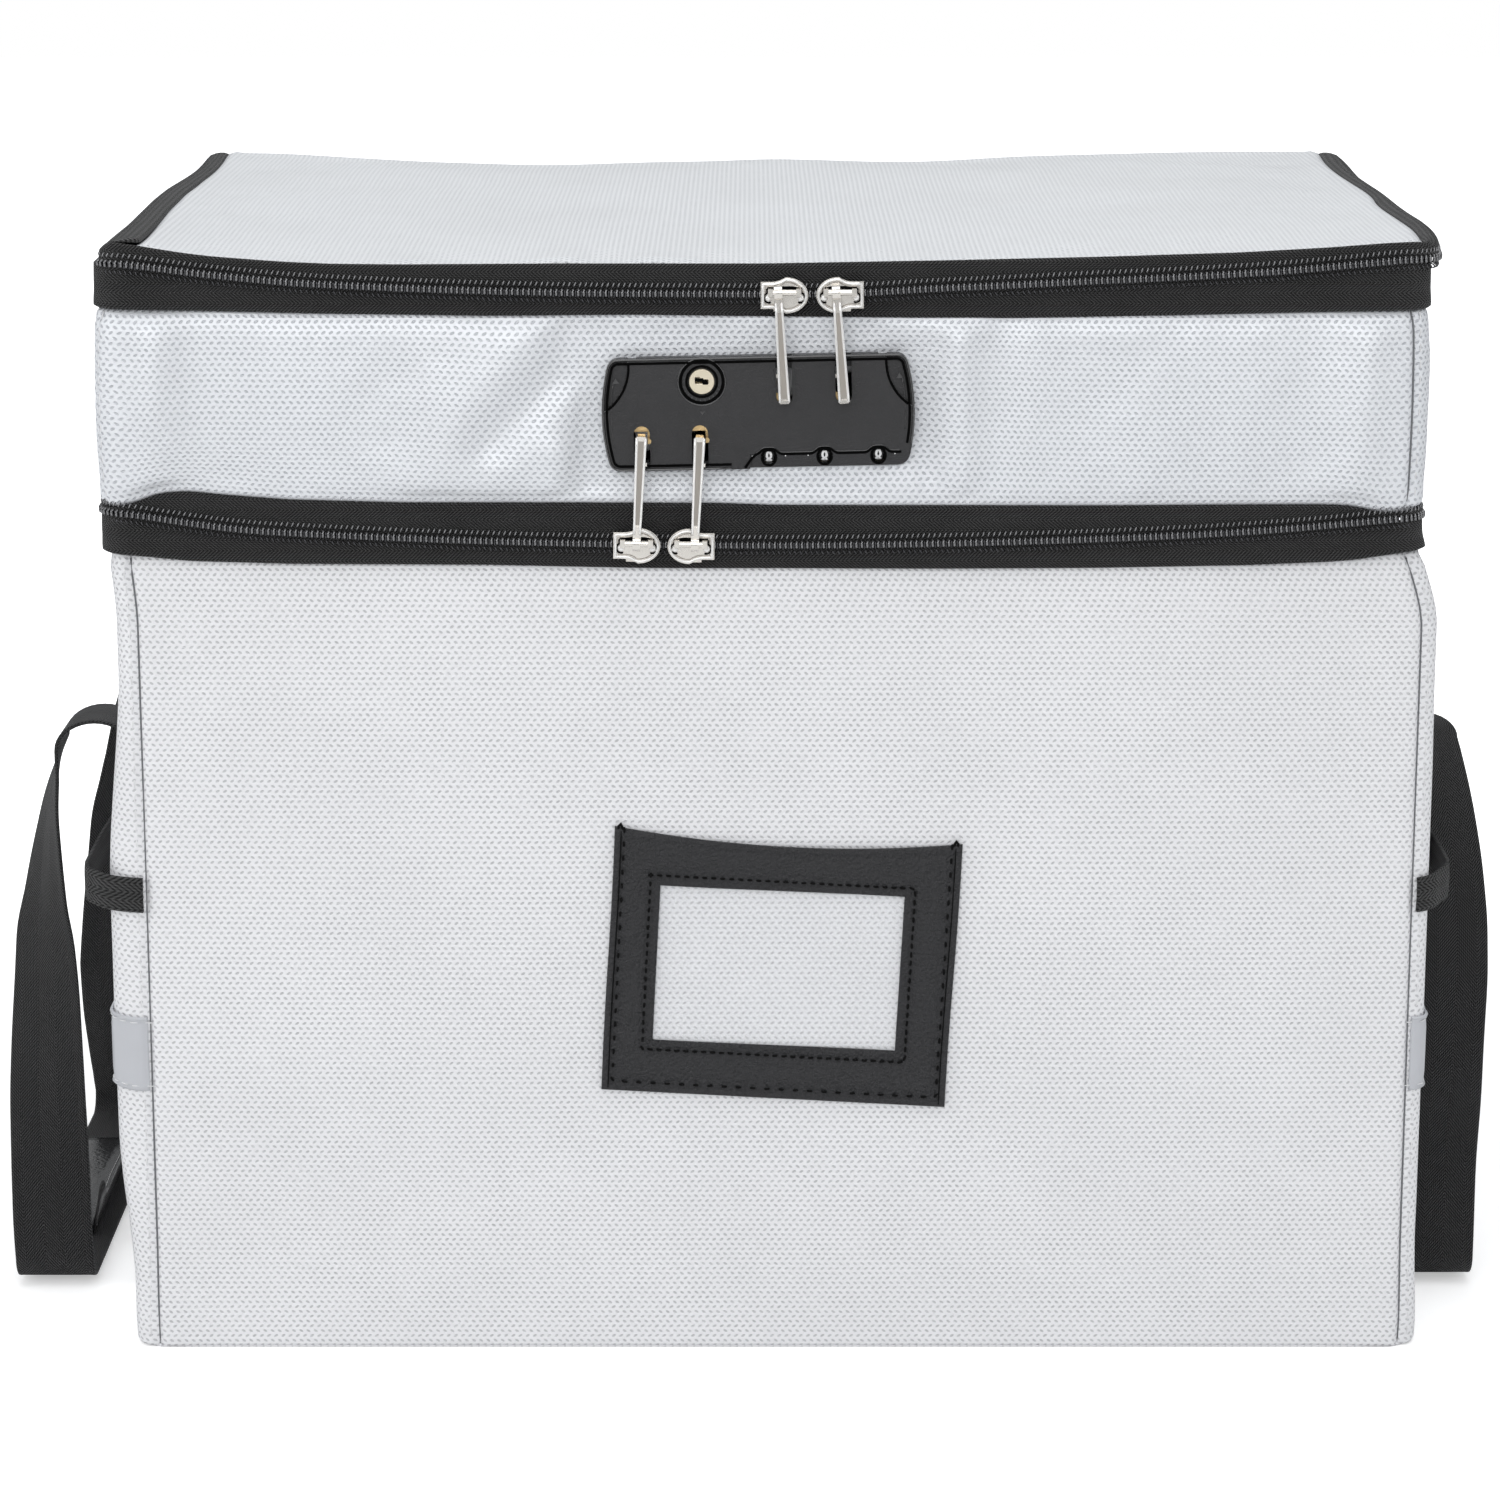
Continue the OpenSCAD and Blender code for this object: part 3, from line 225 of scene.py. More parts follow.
def twill(name, color, pitch, depth, roughness, sheen=0.15, zigzag=0.0):
    # diagonal ribs along the tape; with a zigzag they turn back every few millimetres
    made, tree, shader = newMaterial(name, color, roughness, **{"Sheen Weight": sheen, "Sheen Roughness": 0.4, "Specular IOR Level": 0.35})
    point = clothPoint(tree)
    split = addNode(tree, "ShaderNodeSeparateXYZ", inputs={0: point})
    across = split.outputs[1]
    if zigzag:
        across = calc(tree, "PINGPONG", across, zigzag * mm)
    slanted = calc(tree, "ADD", split.outputs[0], calc(tree, "MULTIPLY", across, 1.2))
    rib = calc(tree, "SINE", calc(tree, "MULTIPLY", slanted, 2 * math.pi / (pitch * mm)))
    cross = calc(tree, "SINE", calc(tree, "MULTIPLY", split.outputs[1], 2 * math.pi / (pitch * 0.55 * mm)))
    weave = calc(tree, "ADD", rib, calc(tree, "MULTIPLY", cross, 0.45))
    fuzz = noise(tree, point, 1500.0, 2.0)
    cloud = noise(tree, point, 45.0, 3.0)
    share = calc(tree, "ADD", remap(tree, weave, -1.4, 1.4, 0.0, 0.6), calc(tree, "MULTIPLY", cloud, 0.4), True)
    tree.links.new(mixColor(tree, share, tuple(c * 0.12 for c in color), tuple(min(1, c * 2.7) for c in color)), shader.inputs["Base Color"])
    tree.links.new(remap(tree, weave, -1.2, 1.3, 0.03, 0.8), shader.inputs["Specular IOR Level"])
    addBump(tree, shader, calc(tree, "ADD", weave, calc(tree, "MULTIPLY", fuzz, 0.8)), depth)
    return made


def plainGrain(name, color, roughness, grain, depth, spread=0.12, **more):
    # moulded or cast surface with a fine grain and slight unevenness in its gloss
    made, tree, shader = newMaterial(name, color, roughness, **more)
    point = objectPoint(tree)
    fine = noise(tree, point, grain, 3.0)
    cloud = noise(tree, point, 60.0, 3.0)
    tree.links.new(mixColor(tree, cloud, tuple(c * (1 - spread) for c in color), tuple(min(1, c * (1 + spread)) for c in color)), shader.inputs["Base Color"])
    tree.links.new(remap(tree, cloud, 0.25, 0.75, roughness * 0.85, min(1, roughness * 1.2)), shader.inputs["Roughness"])
    addBump(tree, shader, fine, depth)
    return made


def leather(name, color, roughness, grain, depth, crease=0.0):
    made, tree, shader = newMaterial(name, color, roughness, **{"Specular IOR Level": 0.45})
    point = objectPoint(tree)
    cells = addNode(tree, "ShaderNodeTexVoronoi", {"feature": "SMOOTH_F1"}, {"Vector": point, "Scale": 1000 / grain, "Smoothness": 0.6})
    fine = noise(tree, point, 2600 / grain, 3.0)
    cloud = noise(tree, point, 40.0, 4.0)
    height = calc(tree, "ADD", calc(tree, "MULTIPLY", cells.outputs["Distance"], -1.0), calc(tree, "MULTIPLY", fine, 0.5))
    if crease:
        folds = addNode(tree, "ShaderNodeTexNoise", {"noise_type": "RIDGED_MULTIFRACTAL"}, {"Vector": point, "Scale": 60.0, "Detail": 3.0})
        height = calc(tree, "ADD", height, calc(tree, "MULTIPLY", folds.outputs[0], crease))
    tree.links.new(mixColor(tree, cloud, tuple(c * 0.8 for c in color), tuple(c * 1.25 for c in color)), shader.inputs["Base Color"])
    tree.links.new(remap(tree, cloud, 0.3, 0.7, roughness * 0.85, min(1, roughness * 1.2)), shader.inputs["Roughness"])
    addBump(tree, shader, height, depth)
    return made


def brushed(name, color, roughness, depth=0.02):
    made, tree, shader = newMaterial(name, color, roughness, Metallic=1.0)
    streaks = noise(tree, objectPoint(tree, (1, 1, 30)), 260.0, 4.0)
    cloud = noise(tree, objectPoint(tree), 180.0, 3.0)
    tree.links.new(remap(tree, cloud, 0.25, 0.75, roughness * 0.7, roughness * 1.5), shader.inputs["Roughness"])
    tree.links.new(mixColor(tree, cloud, tuple(c * 0.92 for c in color), color), shader.inputs["Base Color"])
    addBump(tree, shader, streaks, depth)
    return made


weave = {"step": 2.47, "row": 1.75, "lean": 32, "length": 1.45, "width": 0.78, "gloss": 0.4}
# the second colour of each cloth is the painted shade in its dimples
silverCloth = dimpleCloth("silverCloth", (0.865, 0.865, 0.885), (0.46, 0.46, 0.475), 0.85, 0.2, 0.42, 0.12)
tierCloth = dimpleCloth("tierCloth", (0.825, 0.842, 0.875), (0.42, 0.435, 0.47), 0.8, 0.26, 0.5, 0.3)
# painted shade: the lid's cloth is the walls' cloth painted darker, to offset the brighter light on top
lidCloth = dimpleCloth("lidCloth", (0.745, 0.76, 0.78), (0.44, 0.455, 0.48), 0.85, 0.2, 0.42, 0.15, True)
blackTape = twill("blackTape", (0.0155, 0.015, 0.015), 1.3, 0.45, 0.55, 0.05, 3.4)
blackWebbing = twill("blackWebbing", (0.011, 0.0108, 0.0112), 1.25, 0.35, 0.5, 0.08, 7.0)
bandWebbing = twill("bandWebbing", (0.02, 0.02, 0.02), 1.7, 0.35, 0.7, 0.06, 3.0)
# painted highlight and painted shade: the black nylon teeth are lightened to a metallic grey so they glint, and the
# lower row is a darker copy
paintedHighlightNylon = plainGrain("nylonCoil", (0.23, 0.23, 0.235), 0.24, 900.0, 0.01, Metallic=0.85)
paintedShadeNylon = plainGrain("nylonCoilLow", (0.085, 0.085, 0.09), 0.3, 900.0, 0.01, Metallic=0.85)
threadWhite = plainGrain("threadWhite", (0.78, 0.78, 0.79), 0.6, 2500.0, 0.06)
# painted shade: a dark grey for the cords laid in the seams' gaps
seamGrey = plainGrain("seamGrey", (0.16, 0.165, 0.175), 0.7, 1500.0, 0.06)
# black thread for the stitches, also used for the painted shade along the label's folds
threadBlack = plainGrain("threadBlack", (0.0025, 0.0025, 0.0025), 0.75, 2500.0, 0.06, **{"Specular IOR Level": 0.15})
labelLeather = leather("labelLeather", (0.0185, 0.0185, 0.0205), 0.42, 1.0, 0.8, 0.6)
gripVinyl = leather("gripVinyl", (0.02, 0.02, 0.021), 0.2, 1.6, 0.1, 0.8)
lockPlastic = plainGrain("lockPlastic", (0.0165, 0.016, 0.0175), 0.38, 1500.0, 0.22, 0.45, **{"Specular IOR Level": 0.55})
lockGloss = plainGrain("lockGloss", (0.012, 0.0115, 0.0125), 0.14, 900.0, 0.01, **{"Specular IOR Level": 0.9, "Coat Weight": 0.6, "Coat Roughness": 0.1})
nickel = plainGrain("nickel", (0.80, 0.765, 0.715), 0.24, 700.0, 0.01, 0.04, Metallic=1.0)
# painted highlight and painted shade: a lighter and a darker copy of the nickel, for bright rims and bosses and dark
# lines beside them
nickelBright = plainGrain("nickelBright", (0.93, 0.92, 0.90), 0.22, 700.0, 0.01, 0.02, Metallic=0.55)
nickelShade = plainGrain("nickelShade", (0.40, 0.37, 0.335), 0.4, 700.0, 0.01, 0.05, Metallic=0.9)
keyBrass = plainGrain("keyBrass", (0.80, 0.72, 0.56), 0.3, 900.0, 0.02, 0.06, Metallic=0.45)
# painted shade: near black, for cords and plates laid where gaps, grooves and holes are in shade
keyDark = plainGrain("keyDark", (0.0015, 0.0015, 0.0015), 0.8, 900.0, 0.02, **{"Specular IOR Level": 0.05})
brass = brushed("brass", (0.76, 0.55, 0.28), 0.3)
steel = brushed("steel", (0.62, 0.62, 0.63), 0.35)
digitPaint = plainGrain("digitPaint", (1.0, 1.0, 1.0), 0.5, 1500.0, 0.01, 0.0)
reflectorTape = plainGrain("reflectorTape", (0.52, 0.53, 0.56), 0.34, 3200.0, 0.03, 0.05, **{"Specular IOR Level": 0.5})
boardBrown = plainGrain("boardBrown", (0.42, 0.33, 0.22), 0.9, 800.0, 0.2, 0.2)
liningCloth = twill("liningCloth", (0.19, 0.195, 0.205), 1.2, 0.08, 0.85, 0.1)


def makeFilm():
    made, tree, shader = newMaterial("clearFilm", (0.93, 0.94, 0.96), 0.16, Alpha=0.13)
    waves = noise(tree, objectPoint(tree), 22.0, 2.0)
    addBump(tree, shader, waves, 0.02)
    return made


clearFilm = makeFilm()

# ---------------------------------------------------------------- body outline and its folds
body = {
    "width": 440, "depth": 320, "corner": 10, "top": 276.0,
    "leftSeam": -212.1, "rightSeam": 214.9,  # where the front panel's seams fall along the outline
    "lowerShift": 1.1, "upperShift": -3.7, "backShift": 1.2,  # the soft box stands a little askew
    "draw": 0.0115,                                           # and is drawn in above the lower zip
}
halfW, halfD, cornerR = body["width"] / 2, body["depth"] / 2, body["corner"]
flatX, flatY, arcLength = halfW - cornerR, halfD - cornerR, math.pi / 2 * cornerR
cornerStarts = np.cumsum([flatX, arcLength, 2 * flatY, arcLength, 2 * flatX, arcLength, 2 * flatY, arcLength, flatX])
perimeter = cornerStarts[-1]


def ease(value, low, high):
    t = np.clip((np.asarray(value, float) - low) / (high - low), 0, 1)
    return t * t * (3 - 2 * t)


def outline(along):
    # point and outward direction on the plan outline, along mm anticlockwise from the middle of the front
    s = np.mod(np.asarray(along, float), perimeter)
    p, n = np.zeros(s.shape + (2,)), np.zeros(s.shape + (2,))
    c = cornerStarts
    runs = [
        (0, c[0], (0, -halfD), (1, 0), (0, -1)), (c[1], c[2], (halfW, -flatY), (0, 1), (1, 0)),
        (c[3], c[4], (flatX, halfD), (-1, 0), (0, 1)), (c[5], c[6], (-halfW, flatY), (0, -1), (-1, 0)),
        (c[7], c[8], (-flatX, -halfD), (1, 0), (0, -1)),
    ]
    for low, high, start, way, out in runs:
        on = (s >= low) & (s <= high)
        p[on] = np.array(start) + (s[on] - low)[:, None] * np.array(way)
        n[on] = out
    turns = [(c[0], (flatX, -flatY), -90), (c[2], (flatX, flatY), 0), (c[4], (-flatX, flatY), 90), (c[6], (-flatX, -flatY), 180)]
    for low, centre, first in turns:
        on = (s > low) & (s < low + arcLength)
        angle = math.radians(first) + (s[on] - low) / cornerR
        n[on] = np.stack([np.cos(angle), np.sin(angle)], -1)
        p[on] = np.array(centre) + cornerR * n[on]
    return p, n


def settle(points):
    # the whole soft body leans a little, so the upper part sits further left than the base at the front
    p = np.array(points, float)
    lift, front = ease(p[..., 2], 252, 286), 1 - ease(p[..., 1], -130, 40)
    upper = body["upperShift"] * front + body["backShift"] * (1 - front)
    p[..., 0] *= 1 - body["draw"] * lift
    p[..., 0] += body["lowerShift"] * front * (1 - lift) + upper * lift
    return p


def wallPoint(along, height, out):
    along, height, out = np.broadcast_arrays(np.asarray(along, float), np.asarray(height, float), np.asarray(out, float))
    p, n = outline(along)
    flat = p + n * out[..., None]
    return settle(np.concatenate([flat, height[..., None]], -1))


def addObject(name, mesh):
    made = bpy.data.objects.new(name, mesh)
    scene.collection.objects.link(made)
    return made


def meshPiece(name, points, faces, material, uv=None, smooth=True):
    mesh = bpy.data.meshes.new(name)
    points = np.asarray(points, float).reshape(-1, 3) * mm
    mesh.from_pydata(points.tolist(), [], faces)
    mesh.materials.append(material)
    if uv is not None:
        loops = np.zeros(len(mesh.loops), int)
        mesh.loops.foreach_get("vertex_index", loops)
        layer = mesh.uv_layers.new(name="cloth")
        layer.data.foreach_set("uv", (np.asarray(uv, float).reshape(-1, 2) * mm)[loops].ravel())
    mesh.polygons.foreach_set("use_smooth", [smooth] * len(mesh.polygons))
    mesh.update()
    return addObject(name, mesh)


def gridNormals(points, closed=False):
    along = np.gradient(points, axis=1)
    if closed:
        along = (np.roll(points, -1, 1) - np.roll(points, 1, 1)) / 2
    up = np.gradient(points, axis=0)
    n = np.cross(along, up)
    return n / np.maximum(np.linalg.norm(n, axis=-1, keepdims=True), 1e-9)


def thickSheet(name, outer, thickness, material, uv, hole=None):
    # closed sheet: the outer face is a grid of rows and columns, the inner face lies behind it
    rows, cols = outer.shape[:2]
    inner = outer - gridNormals(outer) * thickness
    points = np.concatenate([outer.reshape(-1, 3), inner.reshape(-1, 3)])
    count = rows * cols
    kept = np.ones((rows - 1, cols - 1), bool) if hole is None else ~hole
    faces = []
    j, i = np.nonzero(kept)
    a = j * cols + i
    quad = np.stack([a, a + 1, a + cols + 1, a + cols], -1)
    faces += quad.tolist()
    faces += (quad[:, ::-1] + count).tolist()

    def rim(first, second):
        faces.append([first, first + count, second + count, second])

    pad = np.zeros((rows + 1, cols + 1), bool)
    pad[1:-1, 1:-1] = kept
    for jj, ii in zip(j.tolist(), i.tolist()):
        corner = jj * cols + ii
        if not pad[jj, ii + 1]:
            rim(corner, corner + 1)
        if not pad[jj + 2, ii + 1]:
            rim(corner + cols + 1, corner + cols)
        if not pad[jj + 1, ii]:
            rim(corner + cols, corner)
        if not pad[jj + 1, ii + 2]:
            rim(corner + 1, corner + cols + 1)
    double = np.concatenate([np.asarray(uv).reshape(-1, 2)] * 2)
    made = meshPiece(name, points, faces, material, double)
    clean = bmesh.new()
    clean.from_mesh(made.data)
    loose = [v for v in clean.verts if not v.link_faces]
    bmesh.ops.delete(clean, geom=loose, context="VERTS")
    clean.to_mesh(made.data)
    clean.free()
    return made


def steps(low, high, size, extra=()):
    # even steps with extra places added, such as the lines beside a seam
    count = max(2, int(round((high - low) / size)) + 1)
    values = np.concatenate([np.linspace(low, high, count), [e for e in extra if low < e < high]])
    values = np.unique(np.round(values, 4))
    keep = [values[0]]
    for v in values[1:]:
        if v - keep[-1] > 0.15:
            keep.append(v)
    keep[-1] = values[-1]
    return np.array(keep)


def softNoise(seed, scale, low, high):
    # smooth random field over (along, height), from a few long waves with a fixed seed
    rng = np.random.default_rng(seed)
    waves = [(rng.normal(size=2) / scale, rng.uniform(0, 2 * math.pi), rng.uniform(0.5, 1)) for _ in range(9)]

    def value(a, b):
        total = sum(w * np.sin(2 * math.pi * (k[0] * a + k[1] * b) * 0.35 + f) for k, f, w in waves)
        return low + (high - low) * (0.5 + total / 7)

    return value


# ---------------------------------------------------------------- cloth simulation of the panels
simSettings = {"frames": 18, "spacing": 7.0, "surplus": 0.006, "pressure": 0.35, "bending": 0.35}
simResults = {}
simQueue = []


def queueSim(name, alongRange, heightRange, pointFunction, pressure=1.0):
    simQueue.append((name, alongRange, heightRange, pointFunction, pressure))


def runSims():
    # each panel is a cloth sheet pinned round its sewn edges, a little larger than its frame, and pushed
    # out by its padding; what is kept is how far each point moves out of the flat
    made = []
    for name, (a0, a1), (h0, h1), place, pressure in simQueue:
        a = np.linspace(a0, a1, int((a1 - a0) / simSettings["spacing"]) + 1)
        h = np.linspace(h0, h1, int((h1 - h0) / simSettings["spacing"]) + 1)
        grid = place(*np.meshgrid(a, h))
        rows, cols = grid.shape[:2]
        rng = np.random.default_rng(len(name))
        normals = gridNormals(grid)
        grid = grid + normals * rng.uniform(-0.05, 0.15, (rows, cols, 1))
        quads = [[j * cols + i, j * cols + i + 1, (j + 1) * cols + i + 1, (j + 1) * cols + i] for j in range(rows - 1) for i in range(cols - 1)]
        sheet = meshPiece("sim." + name, grid, quads, silverCloth)
        pins = sheet.vertex_groups.new(name="pins")
        edge = [j * cols + i for j in range(rows) for i in range(cols) if j in (0, rows - 1) or i in (0, cols - 1)]
        pins.add(edge, 1.0, "REPLACE")
        cloth = sheet.modifiers.new("cloth", "CLOTH")
        s = cloth.settings
        s.quality, s.mass, s.bending_stiffness = 6, 0.15, simSettings["bending"]
        s.tension_stiffness = s.compression_stiffness = 20
        s.vertex_group_mass = "pins"
        s.shrink_min = -simSettings["surplus"]
        s.use_pressure, s.uniform_pressure_force = True, simSettings["pressure"] * pressure
        s.effector_weights.gravity = 0.0
        cloth.point_cache.frame_start, cloth.point_cache.frame_end = 1, simSettings["frames"]
        made.append((name, sheet, a, h, grid, normals))
    for f in range(1, simSettings["frames"] + 1):
        scene.frame_set(f)
    depsgraph = bpy.context.evaluated_depsgraph_get()
    for name, sheet, a, h, grid, normals in made:
        moved = sheet.evaluated_get(depsgraph).to_mesh()
        co = np.zeros(len(moved.vertices) * 3)
        moved.vertices.foreach_get("co", co)
        out = ((co.reshape(grid.shape) / mm - grid) * normals).sum(-1)
        simResults[name] = (a, h, out)
        print("  simulated", name, "from %.2f to %.2f mm" % (out.min(), out.max()))
        bpy.data.objects.remove(sheet)
    scene.frame_set(1)


def simOut(name, along, height, most, least=-0.5):
    # how far the simulated cloth stands out at a point, scaled so that its fullest fold is most
    if name not in simResults:
        return np.zeros(np.broadcast(along, height).shape)
    a, h, out = simResults[name]
    out = out - np.median(out) * 0.5
    full = max(np.percentile(np.abs(out), 98), 0.05)
    values = np.clip(out / full * most, least, most * 1.3)
    along, height = np.broadcast_arrays(np.asarray(along, float), np.asarray(height, float))
    x = np.clip((along - a[0]) / (a[1] - a[0]), 0, len(a) - 1.001)
    y = np.clip((height - h[0]) / (h[1] - h[0]), 0, len(h) - 1.001)
    i, j = x.astype(int), y.astype(int)
    fx, fy = x - i, y - j
    fx, fy = fx * fx * (3 - 2 * fx), fy * fy * (3 - 2 * fy)
    return (values[j, i] * (1 - fx) * (1 - fy) + values[j, i + 1] * fx * (1 - fy)
            + values[j + 1, i] * (1 - fx) * fy + values[j + 1, i + 1] * fx * fy)


seams = {  # along the outline: the two front seams and the two back ones
    "frontLeft": body["leftSeam"], "frontRight": body["rightSeam"],
    "backRight": cornerStarts[3], "backLeft": cornerStarts[4],
}
tierSeams = {"frontLeft": -221.0, "frontRight": 214.6, "backRight": cornerStarts[3], "backLeft": cornerStarts[4]}
panelRanges = {
    "front": (seams["frontLeft"], seams["frontRight"]), "right": (seams["frontRight"], seams["backRight"]),
    "back": (seams["backRight"], seams["backLeft"]), "left": (seams["backLeft"], seams["frontLeft"] + perimeter),
}
tierRanges = {
    "front": (tierSeams["frontLeft"], tierSeams["frontRight"]), "right": (tierSeams["frontRight"], tierSeams["backRight"]),
    "back": (tierSeams["backRight"], tierSeams["backLeft"]), "left": (tierSeams["backLeft"], tierSeams["frontLeft"] + perimeter),
}
lower = {"bottom": 0.6, "top": 279.6, "edgeRoll": 2.4, "fold": 0.9, "spacing": 3.6}
tier = {"bottom": 292.6, "top": 359.0, "fold": 1.3, "spacing": 3.2}

for side, (a0, a1) in panelRanges.items():
    queueSim("lower." + side, (a0, a1), (lower["bottom"] + 3, lower["top"]), lambda a, h: wallPoint(a, h, 0))
for side, (a0, a1) in tierRanges.items():
    queueSim("tier." + side, (a0, a1), (tier["bottom"], tier["top"]), lambda a, h: wallPoint(a, h, 0), 1.3)
queueSim("lid", (-213, 213), (-158, 158), lambda a, h: np.stack([a, h, 378 + 0 * a], -1), 0.7)
print("stage: cloth simulation")
runSims()
simQueue.clear()

# ---------------------------------------------------------------- walls of the lower box and of the tier
print("stage: cloth panels")
label = {"centre": (2.7, 136.1), "width": 116.5, "height": 92, "tilt": 3.1}
lock = {"centre": (-5, 325.1), "width": 102.3, "height": 37.2, "tilt": 1.2}


def seamDip(along, a0, a1, depth=1.5, width=1.7):
    # the cloth turns in at a seam and is drawn slightly at each stitch
    edge = np.minimum(along - a0, a1 - along)
    return -depth * np.exp(-(edge / width) ** 2)


def lowerOut(side, along, height):
    a0, a1 = panelRanges[side]
    out = simOut("lower." + side, along, height, lower["fold"], -0.45)
    if side == "front":
        du, dv = (along - label["centre"][0]) / 72, (height - label["centre"][1]) / 60
        out = out * ease(np.maximum(np.abs(du), np.abs(dv)), 0.85, 1.25)
    if side in ("left", "right"):
        out = out * ease(height, 0, 30) * (1 - 0.75 * ease(height, 60, 120) * (1 - ease(height, 200, 240)))
    edge = np.minimum(along - a0, a1 - along)
    out = out + seamDip(along, a0, a1, 1.5, 1.7)
    if side in ("left", "right"):
        out = out + 0.5 * np.exp(-((edge - 6) / 4) ** 2)  # the side rolls over the seam like a cord
    roll = lower["edgeRoll"]
    low = np.clip(roll - height, 0, roll)
    out = out - (roll - np.sqrt(np.maximum(roll * roll - low * low, 0)))
    # stitches draw the cloth in at the seams, and the bottom corners taper
    out = out + 0.12 * np.sin(2 * math.pi * height / 5.2) * np.exp(-((edge - 2.6) / 1.6) ** 2)
    corner = np.minimum(np.abs(np.mod(along - cornerStarts[0] - arcLength / 2 + perimeter / 2, perimeter) - perimeter / 2),
                        np.abs(np.mod(along + cornerStarts[0] + arcLength / 2 + perimeter / 2, perimeter) - perimeter / 2))
    out = out - 0.5 * np.exp(-(corner / 9) ** 2) * (1 - ease(height, 0, 9)) + 0.8 * np.exp(-(corner / 16) ** 2) * (1 - ease(height, 8, 40))
    if side == "left":  # this side swells beside its front seam
        near = a1 - along
        out = out + 5.6 * ease(near, 3, 17) * (1 - ease(near, 50, 190)) * ease(height, 5, 80) * (1 - ease(height, 160, 240))
    return out - 1.1 * ease(height, 273, 277)


def buildLowerPanel(side):
    a0, a1 = panelRanges[side]
    near = [0.5, 1.1, 1.8, 2.6, 3.6, 4.8, 6.2, 8, 10]
    along = steps(a0, a1, lower["spacing"], [a0 + e for e in near] + [a1 - e for e in near])
    height = steps(lower["bottom"], lower["top"], lower["spacing"], [lower["bottom"] + e for e in (0.4, 0.9, 1.6, 2.4)])
    a, h = np.meshgrid(along, height)
    outer = wallPoint(a, h, lowerOut(side, a, h))
    piece = thickSheet("lower" + side.capitalize() + "Panel", outer, 1.1, silverCloth, np.stack([a, h], -1))
    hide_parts(side + "_skin")
    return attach(piece, "base")


for side in panelRanges:
    buildLowerPanel(side)

band = {  # edges of the two zip bands along the front, as (distance along, height) pairs
    "lowerTop": [(-240, 292.6), (-222, 292.6), (-214, 293.2), (-208, 294.8), (-201, 297.7), (-191, 298.4), (-181, 297.3), (-158, 295.5), (-119, 294.5),
                 (-66, 294.5), (-14, 294.3), (0, 293.7), (32, 293.6), (111, 293.5), (157, 293.8), (186, 293.9), (196, 293.6), (206, 291.3), (213, 291.6), (220, 292.4), (240, 293.2)],
    "lowerBottom": [(-240, 277.6), (-215, 277.2), (-208, 276.8), (-191, 275.1), (-158, 274.2), (-93, 273.9), (-40, 272.8), (58, 272.6), (111, 272.8),
                    (157, 273.7), (186, 274.8), (196, 275.5), (206, 277.0), (213, 278.0), (222, 278.4), (240, 278.0)],
    "upperTop": [(-240, 380.6), (-216, 380.6), (-206, 379.2), (-201, 378.4), (-191, 376.8), (-181, 375.6), (-158, 373.9), (-142, 373.2), (-119, 373.0), (-66, 373.3),
                 (0, 373.3), (58, 374.3), (111, 375.5), (157, 376.9), (186, 378.5), (206, 380.0), (216, 380.4), (240, 379.6)],
    "upperBottom": [(-240, 358.6), (-215, 358.4), (-191, 358.0), (-142, 356.9), (-93, 356.3), (-40, 356.6), (0, 356.1), (58, 355.6), (85, 355.5), (137, 356.4), (173, 357.3), (215, 358.0), (240, 358.2)],
}


def bandEdge(name, along):
    # height of a band edge; beyond the front corners it keeps the value it has there
    s = np.mod(np.asarray(along, float) + perimeter / 2, perimeter) - perimeter / 2
    xs, zs = np.array(band[name]).T
    base = np.interp(np.clip(s, -238, 238), xs, zs)
    fine = sum(np.interp(np.clip(s + d, -238, 238), xs, zs) for d in (-4, -2, 2, 4)) / 4
    return (base + fine) / 2


folds = [  # ridges and hollows of the tier's front: ends (along, height), half width, how far they stand out
    ((-100, 300), (-58, 344), 26, 1.0), ((56, 302), (60, 350), 22, 0.9), ((-200, 305), (-200, 345), 22, 0.8), ((190, 305), (190, 345), 24, 0.8),
    ((-203, 302), (-202, 350), 8.5, 1.5), ((-178, 300), (-184, 346), 13, -0.7), ((-112, 306), (-84, 346), 11, 1.0),
    ((-92, 316), (-60, 350), 7.0, -2.0), ((-66, 352), (-20, 351), 5.5, -0.9), ((-62, 300), (-59, 338), 5.0, -1.1), ((-72, 296), (-70, 312), 5.0, 1.1),
    ((12, 346), (30, 352), 4.5, -0.8), ((62, 304), (60, 348), 5.0, 1.3),
    ((72, 300), (76, 350), 8.0, -0.9), ((52, 302), (50, 312), 4.0, -0.9), ((128, 310), (118, 348), 16, 0.7), ((198, 302), (201, 348), 7.0, 1.0), ((176, 306), (182, 346), 12, -0.6),
]


def frontFolds(along, height):
    total = 0 * along
    for (s0, h0), (s1, h1), wide, most in folds:
        run = np.clip(((along - s0) * (s1 - s0) + (height - h0) * (h1 - h0)) / ((s1 - s0) ** 2 + (h1 - h0) ** 2), 0, 1)
        away = np.hypot(along - s0 - run * (s1 - s0), height - h0 - run * (h1 - h0))
        total = total + most * np.exp(-(away / wide) ** 2)
    return 2.0 * total


